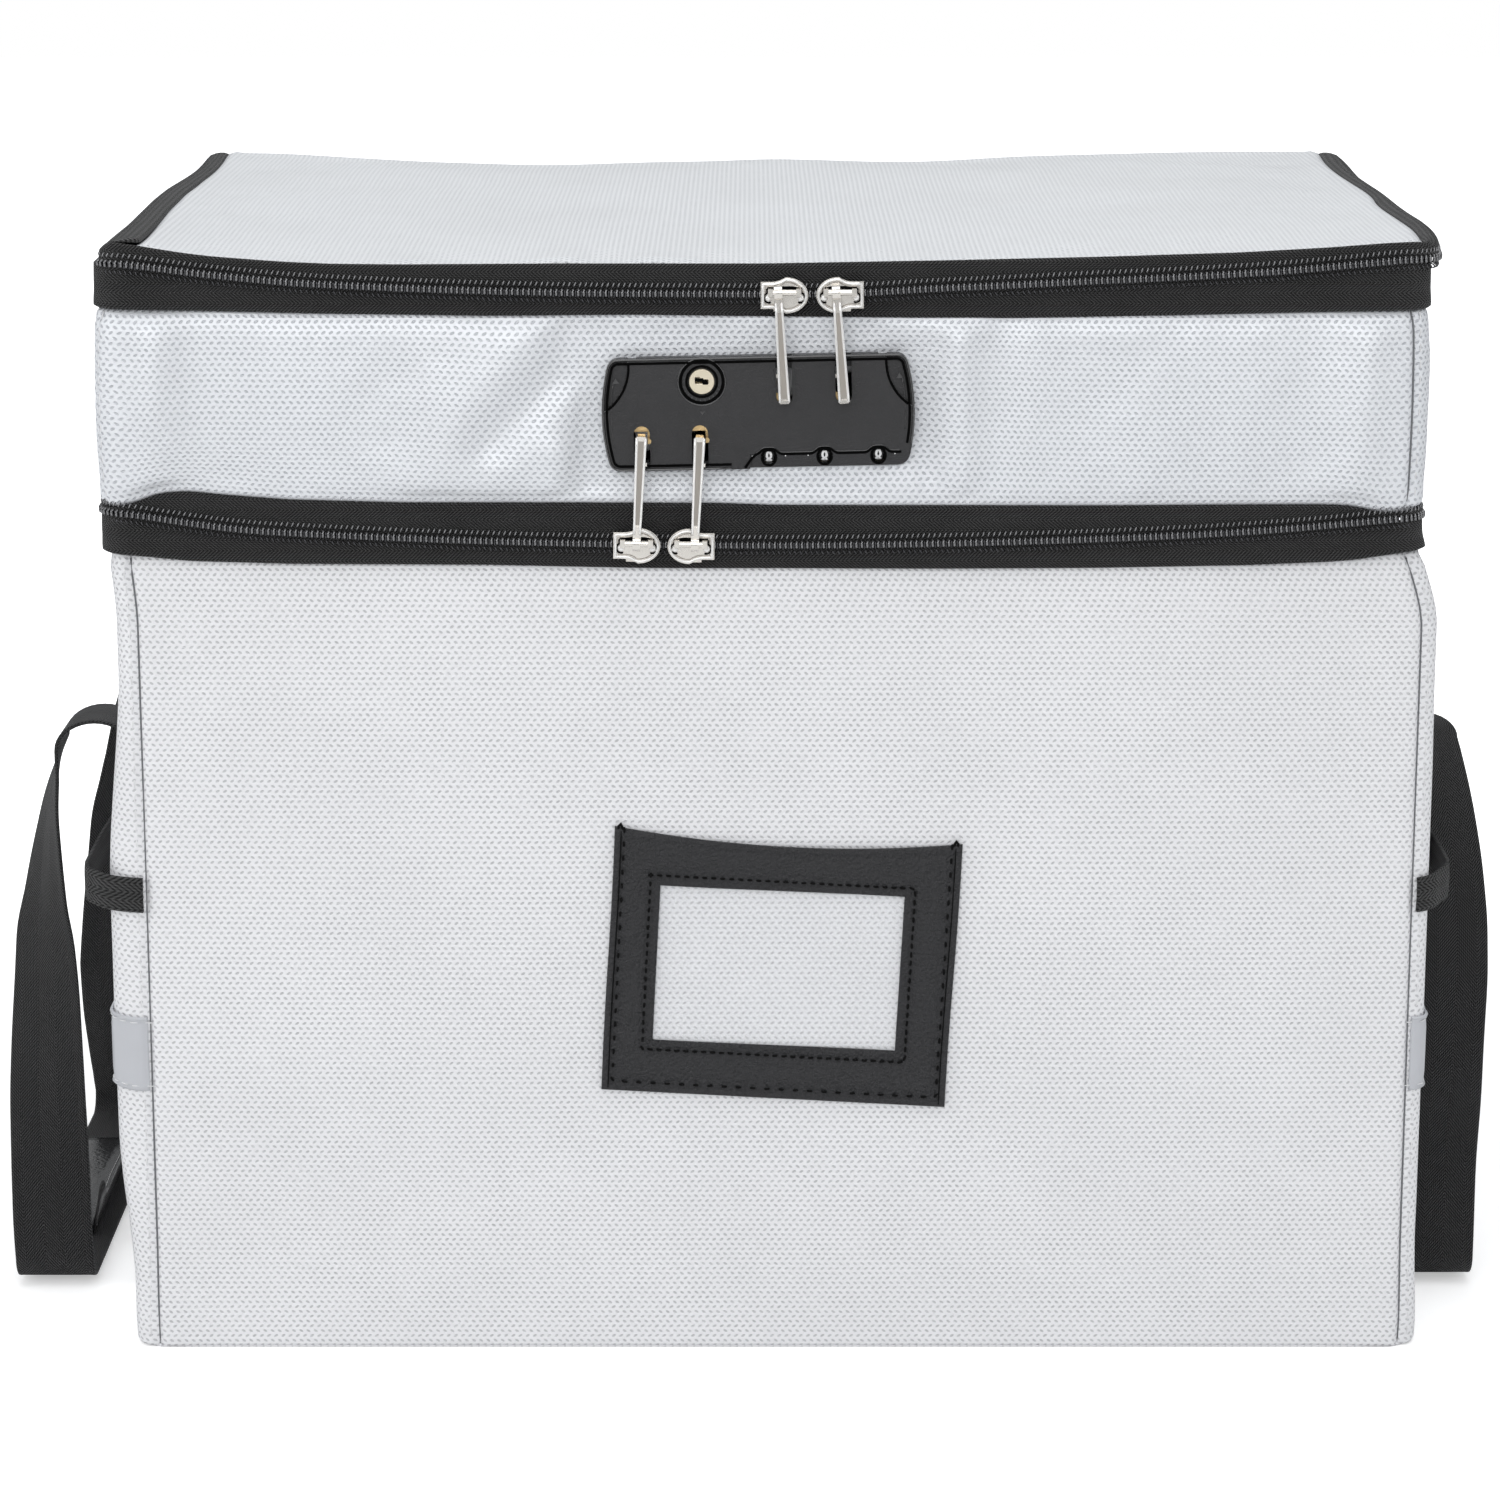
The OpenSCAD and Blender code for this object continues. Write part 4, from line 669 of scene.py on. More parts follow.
def tierOut(side, along, height):
    a0, a1 = tierRanges[side]
    t = (height - tier["bottom"]) / (tier["top"] - tier["bottom"])
    out = simOut("tier." + side, along, height, tier["fold"], -0.35)
    edge = np.minimum(along - a0, a1 - along)
    belly = np.sin(math.pi * np.clip(t, 0, 1)) ** 0.8
    if side == "front":
        out = out + (0.9 + 1.1 * (1 - ease(np.abs(along), 150, 205))) * ease(t, 0.0, 0.12) * (1 - ease(t, 0.86, 1.0))
    else:
        out = out + 0.8 * ease(t, 0.0, 0.1) * (1 - ease(t, 0.95, 1.0))
    for sign, most in ((1, 1.7), (-1, 1.4)):  # both front corners swell, most at half height
        corner = np.abs(np.mod(along + sign * (cornerStarts[0] + arcLength / 2) + perimeter / 2, perimeter) - perimeter / 2)
        out = out + most * belly * np.exp(-(corner / 22) ** 2)
    if side == "front":
        du, dv = (along - lock["centre"][0]) / 60, (height - lock["centre"][1]) / 27
        out = out * ease(np.maximum(np.abs(du), np.abs(dv)), 0.88, 1.3)
        du, dv = (along - lock["centre"][0]) / 55, (height - lock["centre"][1]) / 21
        out = out + frontFolds(along, height) * ease(np.maximum(np.abs(du), np.abs(dv)), 0.9, 1.12) * ease(height, 295, 300) * (1 - ease(height, 354, 358))
    out = 0.5 * (out - 0.3 + np.sqrt((out + 0.3) ** 2 + 0.15))  # no hollow reaches the board
    out = out + seamDip(along, a0, a1, 1.1, 1.5)
    out = out + 0.14 * np.sin(2 * math.pi * height / 5.0) * np.exp(-((edge - 2.6) / 1.6) ** 2)
    out = out + 0.7 * np.exp(-((t - 0.04) / 0.05) ** 2) * (1 if side != "back" else 0.2)  # rolls over the lower band
    out = out - 1.6 * (1 - ease(t, 0.0, 0.03)) - 0.7 * ease(t, 0.94, 1.0)
    return out


def buildTierPanel(side):
    a0, a1 = tierRanges[side]
    near = [0.5, 1.1, 1.8, 2.6, 3.6, 4.8, 6.2, 8, 10]
    cutA = [lock["centre"][0] - 47.4, lock["centre"][0] + 47.4]
    cutH = [lock["centre"][1] - 17.5, lock["centre"][1] + 15.7]
    along = steps(a0, a1, tier["spacing"], [a0 + e for e in near] + [a1 - e for e in near] + (cutA if side == "front" else []))
    height = steps(tier["bottom"], tier["top"], 2.6, [tier["bottom"] + e for e in (0.3, 0.8, 1.4, 2.2, 3.2, 4.4)] + (cutH if side == "front" else []))
    a, h = np.meshgrid(along, height)
    # the bottom row follows the band's wavy top edge
    foot = bandEdge("lowerTop", a) - 293.2
    if side == "back":
        foot = foot * 0
    hh = h + (foot - 0.4) * (1 - ease(h, tier["bottom"], tier["bottom"] + 26))
    hole = None
    if side == "front":
        near = np.exp(-((a - lock["centre"][0]) / 90) ** 4) * (1 - ease(np.abs(h - lock["centre"][1]), 18, 30))
        hh = hh + (a - lock["centre"][0]) * math.tan(math.radians(lock["tilt"])) * near
        midA, midH = (along[1:] + along[:-1]) / 2, (height[1:] + height[:-1]) / 2
        hole = ((midH[:, None] > cutH[0]) & (midH[:, None] < cutH[1]) & (midA[None] > cutA[0]) & (midA[None] < cutA[1]))
    outer = wallPoint(a, hh, tierOut(side, a, h))
    if side == "front":  # round the lock the panel stays where the case is, whatever the box does
        p, n = outline(a)
        still = (1 - ease(np.abs(a - lock["centre"][0]), 60, 110))[..., None]
        bare = np.concatenate([p + n * tierOut(side, a, h)[..., None], hh[..., None]], -1)
        outer = outer * (1 - still) + bare * still
    piece = thickSheet("tier" + side.capitalize() + "Panel", outer, 1.0, tierCloth, np.stack([a, h], -1), hole)
    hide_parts("tier_" + side + "_skin")
    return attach(piece, "tier")


for side in tierRanges:
    buildTierPanel(side)


def plate(name, grow, low, high, material, node, bodyName, roll=0.6, spacing=9.0):
    # floor of cloth: a rounded plate with soft edges, laid over the plan outline
    along = np.concatenate([np.linspace(c0, c1, n, endpoint=False) for c0, c1, n in
                            [(-flatX, flatX, 40), (cornerStarts[0], cornerStarts[1], 8), (cornerStarts[1], cornerStarts[2], 30), (cornerStarts[2], cornerStarts[3], 8),
                             (cornerStarts[3], cornerStarts[4], 40), (cornerStarts[4], cornerStarts[5], 8), (cornerStarts[5], cornerStarts[6], 30), (cornerStarts[6], cornerStarts[7], 8)]])
    rings = []
    profile = [(0.0, low), (0.9, low), (1 - 0.002, low), (1.0, low + roll), (1.0, high - roll), (1 - 0.002, high), (0.9, high), (0.0, high)]
    for share, z in profile:
        edge = wallPoint(along, z, grow)
        centre = np.array([0, 0, z])
        pts = centre + (edge - centre) * share if share else centre + (edge - centre) * 0.02
        pts[:, 2] = z
        rings.append(pts)
    grid = np.array(rings)
    count = len(along)
    faces = []
    for j in range(len(profile) - 1):
        for i in range(count):
            k = (i + 1) % count
            faces.append([j * count + i, j * count + k, (j + 1) * count + k, (j + 1) * count + i])
    faces.append(list(range(count))[::-1])
    faces.append([(len(profile) - 1) * count + i for i in range(count)])
    piece = meshPiece(name, grid, faces, material, grid.reshape(-1, 3)[:, :2])
    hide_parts(*node)
    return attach(piece, bodyName)


plate("lowerBottomPanel", -1.0, 0.0, 1.2, silverCloth, ["bottom_skin"], "base")
plate("tierBottomPanel", -1.3, 292.0, 293.2, tierCloth, ["tier_floor_skin"], "tier")


def buildLining(name, node, low, high, hem, bodyName, hole=False):
    # lining: a floor and walls of thin cloth, with its upper edge bound
    inset = -4.2
    along = steps(0, perimeter, 6.0, [c + e for c in cornerStarts[:-1] for e in (-1, -3, 2, 5, 8)])[:-1]
    profile = [(-60, low + 0.8), (-6.5, low + 0.8), (-5.6, low + 0.85), (-5.05, low + 1.5), (-5.0, low + 3)]
    profile += [(-5.0, z) for z in np.linspace(low + 8, high - 2, 10 if hole else 24)]
    profile += [(-4.95, high - 0.3), (-4.6, high), (-4.25, high - 0.3), (-4.2, high - 2), (-4.2, low + 2), (-5.6, low), (-60, low)]
    rings, uvs = [], []
    wave = softNoise(5 if hole else 7, 90, -0.5, 0.5)
    run = 0.0
    last = None
    for out, z in profile:
        ripple = wave(along, z) * (0.6 if out == -5.0 else 0.0)
        pts = wallPoint(along, np.full(len(along), z), max(out, -6.5) - np.maximum(ripple, 0))
        if out == -60:  # the middle of the floor
            pts = np.stack([pts[:, 0] * 0.05, pts[:, 1] * 0.05, pts[:, 2]], -1)
        run += 0 if last is None else math.hypot(out - last[0], z - last[1])
        last = (out, z)
        rings.append(pts)
        uvs.append(pts[:, :2] if out <= -6.5 else np.stack([along, np.full(len(along), run)], -1))
    grid = np.array(rings)
    count = len(along)
    faces = [[j * count + (i + 1) % count, j * count + i, (j + 1) * count + i, (j + 1) * count + (i + 1) % count] for j in range(len(profile) - 1) for i in range(count)]
    faces.append(list(range(count)))
    faces.append([(len(profile) - 1) * count + i for i in range(count)][::-1])
    if hole:  # the lock's housing comes through the front
        centres = [np.mean([grid.reshape(-1, 3)[v] for v in f[:4]], 0) for f in faces]
        faces = [f for f, c in zip(faces, centres) if not (c[1] < -150 and abs(c[0] - lock["centre"][0]) < 49 and abs(c[2] - lock["centre"][1] + 1) < 17.5 and c[2] > low + 2)]
    piece = meshPiece(name, grid, faces, liningCloth, np.array(uvs))
    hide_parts(node)
    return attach(piece, bodyName)


buildLining("lowerLining", "lower_lining", 5.2, 273.0, 2, "base")
buildLining("tierLining", "tier_lining", 296.2, 355.8, 2, "tier", True)


def cadCopy(name, node, material, bodyName, slot, bevel=0.0, segments=2, warp=None, angle=30, replace=True):
    # merged copy of a CAD node, with its sharp edges eased
    source = cadNodes[node]
    mesh = source.data.copy()
    mesh.name = name
    mesh.materials.clear()
    mesh.materials.append(material)
    work = bmesh.new()
    work.from_mesh(mesh)
    bmesh.ops.remove_doubles(work, verts=work.verts, dist=0.002 * mm)
    bmesh.ops.dissolve_limit(work, angle_limit=math.radians(1.0), verts=work.verts, edges=work.edges)
    if warp:  # long pieces need places along them to bend at
        for at, way in [((0, y, 0), (0, 1, 0)) for y in range(-150, 151, 15)] + [((0, 0, z), (0, 0, 1)) for z in (252, 258, 263, 268, 273, 280)] + [((x, 0, 0), (1, 0, 0)) for x in range(-180, 181, 60)]:
            bmesh.ops.bisect_plane(work, geom=work.verts[:] + work.edges[:] + work.faces[:], dist=0.0001 * mm, plane_co=Vector(at) * mm, plane_no=way)
        for v in work.verts:
            v.co = Vector(warp(np.array(v.co) / mm) * mm)
    for f in work.faces:
        f.smooth = True
    for e in work.edges:
        e.smooth = not (len(e.link_faces) == 2 and e.calc_face_angle(0) > math.radians(angle))
    work.to_mesh(mesh)
    work.free()
    piece = addObject(name, mesh)
    if bevel:
        mod = piece.modifiers.new("edges", "BEVEL")
        mod.width, mod.segments, mod.limit_method, mod.angle_limit = bevel * mm, segments, "ANGLE", math.radians(angle)
        mod.harden_normals, mod.miter_outer, mod.use_clamp_overlap = False, "MITER_SHARP", True
        piece = flatten(piece)
        piece.data.polygons.foreach_set("use_smooth", [True] * len(piece.data.polygons))
        piece.data.update()
    if replace:
        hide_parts(node)
    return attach(piece, bodyName)


def flatten(piece):
    # the piece with its modifiers worked into its mesh
    depsgraph = bpy.context.evaluated_depsgraph_get()
    mesh = bpy.data.meshes.new_from_object(piece.evaluated_get(depsgraph), preserve_all_data_layers=True, depsgraph=depsgraph)
    name = piece.name
    piece.modifiers.clear()
    old = piece.data
    piece.data = mesh
    bpy.data.meshes.remove(old)
    mesh.name = name
    return piece


for name, node, bodyName in (("lowerWallBoards", "wall_boards", "base"), ("tierWallBoards", "tier_wall_boards", "tier"), ("tierFloorBoard", "tier_floor_board", "tier")):
    cadCopy(name, node, boardBrown, bodyName, "board", warp=lambda p: settle(p * np.array([0.9985, 0.9985, 1])))
cadCopy("bottomBoard", "bottom_board", boardBrown, "base", "board", warp=lambda p: settle(p * np.array([0.991, 0.989, 1])))
cadCopy("lidBoard", "lid_board", boardBrown, "lid", "board", warp=lambda p: settle(p * np.array([0.98, 0.98, 1]) - np.array([0, 0, 2.0 + 0.5 * float(ease(p[1], -40, 120))])))

# ---------------------------------------------------------------- zip bands
print("stage: zip bands, chains and hinge bands")
zips = {
    "lower": {"middle": 280.6, "rise": 7.4, "radius": 2983.43, "top": "lowerTop", "bottom": "lowerBottom", "backTop": 296.8, "backBottom": 273.2},
    "upper": {"middle": 363.4, "rise": 9.0, "radius": 2454.5, "top": "upperTop", "bottom": "upperBottom", "backTop": 373.4, "backBottom": 356.9},
}
tapeEnd = cornerStarts[2]  # the tapes run to the back corners


chainDrift = {  # how far the worn chain has moved from its drawn line, as (distance along, height) pairs
    "upper": [(-240, 0.9), (-205, 0.7), (-185, -0.4), (-154, -1.2), (-120, -0.9), (-89, -0.6), (-24, 0), (30, 0), (55, 1.2), (106, 1.9), (171, 1.5), (205, 2.0), (240, 2.2)],
    "lower": [(-240, 3.4), (-209, 3.0), (-190, 1.2), (-172, 0), (-116, 0), (150, 0), (180, 0.4), (205, 1.2), (240, 1.6)],
}


def chainHeight(zipName, along):
    s = np.mod(np.asarray(along, float) + perimeter / 2, perimeter) - perimeter / 2
    z = zips[zipName]
    x = np.clip(np.abs(s), 0, flatX)
    xs, zs = np.array(chainDrift[zipName]).T
    drift = sum(np.interp(np.clip(s + d, -238, 238), xs, zs) for d in (-8, -4, 0, 4, 8)) / 5
    return z["middle"] + z["radius"] - np.sqrt(z["radius"] ** 2 - x * x) + drift


def tapeStations():
    return steps(-tapeEnd, tapeEnd, 4.0, [sign * (cornerStarts[0] + e) for sign in (-1, 1) for e in (-6, -3, 0, 1.5, 3, 4.5, 6, 7.5, 9, 10.5, 12, 13.5, 15, 16.5, 19, 22)])


sideRoll = {  # where the upper tape rolls over the lid's sides: (y, x) of its outer and inner edges
    "left": {
        "outer": [(-162, -219.3), (-125, -219.8), (-89, -219.8), (-51, -220.8), (-11, -221.9), (20, -222.1), (54, -220.5), (76, -219.7), (99, -219.8), (123, -220.4), (147, -221.4), (170, -222.2)],
        "inner": [(-160, -207.4), (-135, -207.2), (-98, -208.2), (-60, -209.8), (-20, -210.4), (2, -210.9), (23, -210.3), (46, -210.3), (68, -209.9), (92, -210.0), (116, -210.9), (140, -212.2), (170, -213.4)],
    },
    "right": {
        "outer": [(-162, 216.4), (-143, 218.6), (-125, 220.6), (-107, 221.9), (-89, 222.5), (-70, 221.7), (-31, 221.5), (10, 221.7), (53, 221.1), (76, 221.5), (99, 222.6), (123, 223.8), (147, 224.7), (170, 225.2)],
        "inner": [(-160, 210.4), (-135, 212.4), (-117, 213.1), (-98, 212.8), (-60, 211.9), (-40, 212.1), (-19, 213.8), (2, 214.1), (23, 213.5), (46, 212.8), (68, 212.4), (92, 212.5), (116, 213.3), (140, 215.1), (170, 216.6)],
    },
}


def sideEdge(side, which, y):
    ys, xs = np.array(sideRoll[side][which]).T
    return sum(np.interp(np.asarray(y, float) + d, ys, xs) for d in (-8, -4, 0, 4, 8)) / 5


def rollOverSides(outer, along, share):
    # beside the front corners the tape goes up, turns in over the lid and ends on its cover
    profile = np.array([(0, 0, 0), (0.1, 0.0, 2.2), (0.2, 0.01, 3.9), (0.32, 0.06, 5.6), (0.46, 0.2, 7.0), (0.6, 0.42, 7.8), (0.72, 0.62, 8.1), (0.82, 0.8, 8.1), (0.9, 0.93, 7.8), (0.96, 1.0, 7.4), (1.0, 1.03, 6.6)])
    start = outer[0, :, 2]
    blend = ease(np.abs(along), cornerStarts[0] + 2, cornerStarts[0] + 17)
    back = ease(np.abs(along), tapeEnd - 14, tapeEnd - 2)
    for j, t in enumerate(share):
        across, lift = np.interp(t, profile[:, 0], profile[:, 1]), np.interp(t, profile[:, 0], profile[:, 2])
        y = outer[j, :, 1]
        for side, on in (("left", along < 0), ("right", along > 0)):
            x = sideEdge(side, "outer", y) * (1 - across) + sideEdge(side, "inner", y) * across
            reach = blend * on
            outer[j, :, 0] = outer[j, :, 0] * (1 - reach) + x * reach
        z = 372.4 + lift * (1 - 0.0 * back)
        outer[j, :, 2] = outer[j, :, 2] * (1 - blend) + (start * (1 - t) + z * t if t < 0.3 else z + (start - 372.4) * max(0, 0.5 - t)) * blend
    return outer


def buildTape(name, node, zipName, half, bodyName):
    # half is -1 for the tape under the chain and 1 for the one above it
    z = zips[zipName]
    along = tapeStations()
    chain = chainHeight(zipName, along)
    near = chain + half * 0.45
    edge = bandEdge(z["bottom"] if half < 0 else z["top"], along)
    share = np.array([0, 0.03, 0.1, 0.2, 0.32, 0.46, 0.6, 0.72, 0.82, 0.9, 0.96, 1.0])  # from the chain to the sewn edge
    if half < 0:
        share = share[::-1]
    wave = softNoise(11 + len(name), 46, -1, 1)
    front = np.clip(1 - np.abs(np.mod(along + perimeter / 2, perimeter) - perimeter / 2) / flatX, 0, 1) > 0.0
    rows = []
    for t in share:
        height = near + (edge - near) * t
        out = 1.2 + 0.15 * math.sin(math.pi * t)
        ripple = wave(along, t * 6) * ease(t, 0.5, 0.9)
        if half < 0:
            lift = 0.35 * ease(t, 0.55, 0.95) + 0.22 * ripple
            tuck = -0.9 * ease(t, 0.975, 1.0)
        else:
            lift = 0.1 * ripple
            tuck = -0.9 * ease(t, 0.9, 1.0)
        rows.append((height, out + lift + tuck))
    height = np.array([r[0] for r in rows])
    out = np.array([np.broadcast_to(r[1], along.shape) for r in rows])
    outer = wallPoint(np.broadcast_to(along, height.shape), height, out)
    if zipName == "upper" and half > 0:
        outer = rollOverSides(outer, along, share)
    uv = np.stack([np.broadcast_to(along, height.shape), height], -1)
    piece = thickSheet(name, outer, 0.9, blackTape, uv)
    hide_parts(node)
    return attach(piece, bodyName)


buildTape("lowerTapeBase", "lower_zip_tape_base", "lower", -1, "base")
buildTape("lowerTapeTier", "lower_zip_tape_tier", "lower", 1, "tier")
buildTape("upperTapeTier", "upper_zip_tape_tier", "upper", -1, "tier")
buildTape("upperTapeLid", "upper_zip_tape_lid", "upper", 1, "lid")


def buildHingeBand(name, zipName, nodesOf):
    # one band of cloth across the back where the two parts are joined, with a raised line along its middle
    z = zips[zipName]
    along = steps(tapeEnd - 0.5, perimeter - tapeEnd + 0.5, 5.0, [cornerStarts[2] + e for e in (2, 4, 6, 8, 10, 12, 14)] + [cornerStarts[4] + e for e in (2, 4, 6, 8, 10, 12, 14)])
    bottom, top = z["backBottom"], z["backTop"]
    share = np.array([0, 0.03, 0.1, 0.2, 0.3, 0.4, 0.45, 0.5, 0.55, 0.6, 0.7, 0.8, 0.9, 0.97, 1.0])
    wave = softNoise(31 + len(name), 60, -1, 1)
    height = (bottom + (top - bottom) * share)[:, None] + 0.35 * wave(along, 3.0) * (np.abs(share - 0.5) * 2)[:, None]
    out = 1.15 + 0.25 * wave(along[None], share[:, None] * 8) * np.sin(math.pi * share)[:, None] + 0.5 * np.exp(-((share[:, None] - 0.5) / 0.08) ** 2)
    out = out - 0.8 * (1 - ease(np.minimum(share, 1 - share), 0, 0.05))[:, None]
    outer = wallPoint(np.broadcast_to(along, height.shape), height, out)
    piece = thickSheet(name, outer, 0.9, blackTape, np.stack([np.broadcast_to(along, height.shape), height], -1))
    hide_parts(*nodesOf)
    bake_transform(piece)


buildHingeBand("lowerHingeBand", "lower", ["lower_hinge_band_base", "lower_hinge_band_tier"])
buildHingeBand("upperHingeBand", "upper", ["upper_hinge_band_tier", "upper_hinge_band_lid"])

# ---------------------------------------------------------------- what repeats along a path: coils and stitches


def buildRepeatTree():
    # the path's points carry the outward direction; the item's X lies along the path and its Z points outwards
    tree = bpy.data.node_groups.new("repeatAlong", "GeometryNodeTree")
    face = tree.interface
    face.new_socket("Path", in_out="INPUT", socket_type="NodeSocketGeometry")
    face.new_socket("Item", in_out="INPUT", socket_type="NodeSocketObject")
    face.new_socket("Pitch", in_out="INPUT", socket_type="NodeSocketFloat")
    face.new_socket("Wobble", in_out="INPUT", socket_type="NodeSocketFloat")
    face.new_socket("Seed", in_out="INPUT", socket_type="NodeSocketInt")
    face.new_socket("Finish", in_out="INPUT", socket_type="NodeSocketMaterial")
    face.new_socket("Pieces", in_out="OUTPUT", socket_type="NodeSocketGeometry")
    inside = addNode(tree, "NodeGroupInput")
    curve = addNode(tree, "GeometryNodeMeshToCurve", inputs={0: inside.outputs["Path"]})
    even = addNode(tree, "GeometryNodeResampleCurve", {"mode": "LENGTH"}, {"Curve": curve.outputs[0], "Length": inside.outputs["Pitch"]})
    outward = addNode(tree, "GeometryNodeInputNamedAttribute", {"data_type": "FLOAT_VECTOR"}, {"Name": "outward"})
    tangent = addNode(tree, "GeometryNodeInputTangent")
    turn = addNode(tree, "FunctionNodeAxesToRotation", {"primary_axis": "X", "secondary_axis": "Z"}, {"Primary Axis": tangent.outputs[0], "Secondary Axis": outward.outputs[0]})
    item = addNode(tree, "GeometryNodeObjectInfo", inputs={"Object": inside.outputs["Item"], "As Instance": True})
    low = addNode(tree, "ShaderNodeMath", {"operation": "MULTIPLY"}, {0: inside.outputs["Wobble"], 1: -1.0})
    shake = addNode(tree, "FunctionNodeRandomValue", {"data_type": "FLOAT"}, {"Seed": inside.outputs["Seed"]})
    tree.links.new(low.outputs[0], [i for i in shake.inputs if i.name == "Min" and i.type == "VALUE"][0])
    tree.links.new(inside.outputs["Wobble"], [i for i in shake.inputs if i.name == "Max" and i.type == "VALUE"][0])
    angle = [o for o in shake.outputs if o.type == "VALUE"][0]
    twist = addNode(tree, "ShaderNodeCombineXYZ", inputs={2: angle})
    local = addNode(tree, "FunctionNodeEulerToRotation", inputs={0: twist.outputs[0]})
    whole = addNode(tree, "FunctionNodeRotateRotation", {"rotation_space": "LOCAL"}, {"Rotation": turn.outputs[0], "Rotate By": local.outputs[0]})
    spread = addNode(tree, "GeometryNodeInstanceOnPoints", inputs={"Points": even.outputs[0], "Instance": item.outputs["Geometry"], "Rotation": whole.outputs[0]})
    real = addNode(tree, "GeometryNodeRealizeInstances", inputs={0: spread.outputs[0]})
    painted = addNode(tree, "GeometryNodeSetMaterial", inputs={"Geometry": real.outputs[0], "Material": inside.outputs["Finish"]})
    addNode(tree, "NodeGroupOutput", inputs={0: painted.outputs[0]})
    return tree


repeatTree = buildRepeatTree()


def repeatAlong(name, paths, item, pitch, material, wobble=0.0, seed=1):
    # paths is a list of (points, outward directions); the result is one plain mesh
    points, edges, outward = [], [], []
    for line, out in paths:
        first = len(points)
        points += list(np.asarray(line, float) * mm)
        outward += list(np.asarray(out, float))
        edges += [(first + i, first + i + 1) for i in range(len(line) - 1)]
    mesh = bpy.data.meshes.new(name)
    mesh.from_pydata([tuple(p) for p in points], edges, [])
    field = mesh.attributes.new("outward", "FLOAT_VECTOR", "POINT")
    field.data.foreach_set("vector", np.array(outward, np.float32).ravel())
    carrier = addObject(name + ".path", mesh)
    mod = carrier.modifiers.new("repeat", "NODES")
    mod.node_group = repeatTree
    sockets = {s.name: s.identifier for s in repeatTree.interface.items_tree if s.in_out == "INPUT"}
    mod[sockets["Item"]] = item
    mod[sockets["Pitch"]] = pitch * mm
    mod[sockets["Wobble"]] = wobble
    mod[sockets["Seed"]] = seed
    mod[sockets["Finish"]] = material
    depsgraph = bpy.context.evaluated_depsgraph_get()
    result = bpy.data.meshes.new_from_object(carrier.evaluated_get(depsgraph), depsgraph=depsgraph)
    bpy.data.objects.remove(carrier)
    result.name = name
    result.polygons.foreach_set("use_smooth", [True] * len(result.polygons))
    result.update()
    return addObject(name, result)


def tubeItem(name, path, radii, sides=6, flat=1.0):
    # a short bent tube, used as a zip tooth or a stitch
    path = np.asarray(path, float)
    rings = []
    for k, p in enumerate(path):
        before, after = path[max(k - 1, 0)], path[min(k + 1, len(path) - 1)]
        way = (after - before) / np.linalg.norm(after - before)
        side = np.cross(way, [0, 0, 1.0]) if abs(way[2]) < 0.9 else np.cross(way, [1.0, 0, 0])
        side /= np.linalg.norm(side)
        up = np.cross(side, way)
        rings.append([p + radii[k] * (math.cos(2 * math.pi * i / sides) * side + flat * math.sin(2 * math.pi * i / sides) * up) for i in range(sides)])
    points = np.array(rings).reshape(-1, 3) * mm
    faces = [[k * sides + i, k * sides + (i + 1) % sides, (k + 1) * sides + (i + 1) % sides, (k + 1) * sides + i] for k in range(len(path) - 1) for i in range(sides)]
    faces += [list(range(sides))[::-1], [(len(path) - 1) * sides + i for i in range(sides)]]
    mesh = bpy.data.meshes.new(name)
    mesh.from_pydata(points.tolist(), [], faces)
    work = bmesh.new()
    work.from_mesh(mesh)
    bmesh.ops.recalc_face_normals(work, faces=work.faces)
    work.to_mesh(mesh)
    work.free()
    return addObject(name, mesh)


def bead(name, path, radius, material, slot, bodyName, closed=False, sides=8):
    # a round cord of material along a path, as for a rim, a line or a boss
    path = np.asarray(path, float)
    n = len(path)
    radius = np.broadcast_to(np.asarray(radius, float), (n,))
    rings = []
    for k, p in enumerate(path):
        before, after = (path[k - 1], path[(k + 1) % n]) if closed else (path[max(k - 1, 0)], path[min(k + 1, n - 1)])
        way = (after - before) / np.linalg.norm(after - before)
        side = np.cross(way, [0, -1.0, 0]) if abs(way[1]) < 0.9 else np.cross(way, [1.0, 0, 0])
        side /= np.linalg.norm(side)
        up = np.cross(side, way)
        rings.append([p + radius[k] * (math.cos(2 * math.pi * i / sides) * side + math.sin(2 * math.pi * i / sides) * up) for i in range(sides)])
    faces = [[k * sides + i, k * sides + (i + 1) % sides, (k + 1) % n * sides + (i + 1) % sides, (k + 1) % n * sides + i] for k in range(n if closed else n - 1) for i in range(sides)]
    if not closed:
        faces += [list(range(sides))[::-1], [(n - 1) * sides + i for i in range(sides)]]
    return finishTrim(name, rings, faces, material, slot, bodyName)


def shapedPlate(name, shapes, place, front, back, material, slot, bodyName):
    # flat shapes given as (across, up) points, from depth front to depth back
    points, faces = [], []
    for shape in shapes:
        n, first = len(shape), len(points)
        for y in (front, back):
            points += [place(u, y, w) for u, w in shape]
        faces += [[first + i for i in range(n)], [first + n + i for i in range(n)][::-1]]
        faces += [[first + i, first + (i + 1) % n, first + n + (i + 1) % n, first + n + i] for i in range(n)]
    return finishTrim(name, points, faces, material, slot, bodyName, False)


def finishTrim(name, points, faces, material, slot, bodyName, smooth=True):
    piece = meshPiece(name, np.asarray(points, float).reshape(-1, 3), faces, material, smooth=smooth)
    work = bmesh.new()
    work.from_mesh(piece.data)
    bmesh.ops.recalc_face_normals(work, faces=work.faces)
    work.to_mesh(piece.data)
    work.free()
    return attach(piece, bodyName)


coil = {"pitch": 1.79, "wire": 0.31, "head": 0.5, "reach": 3.6, "lean": 0.95, "out": 1.45, "sideOut": 0.8}


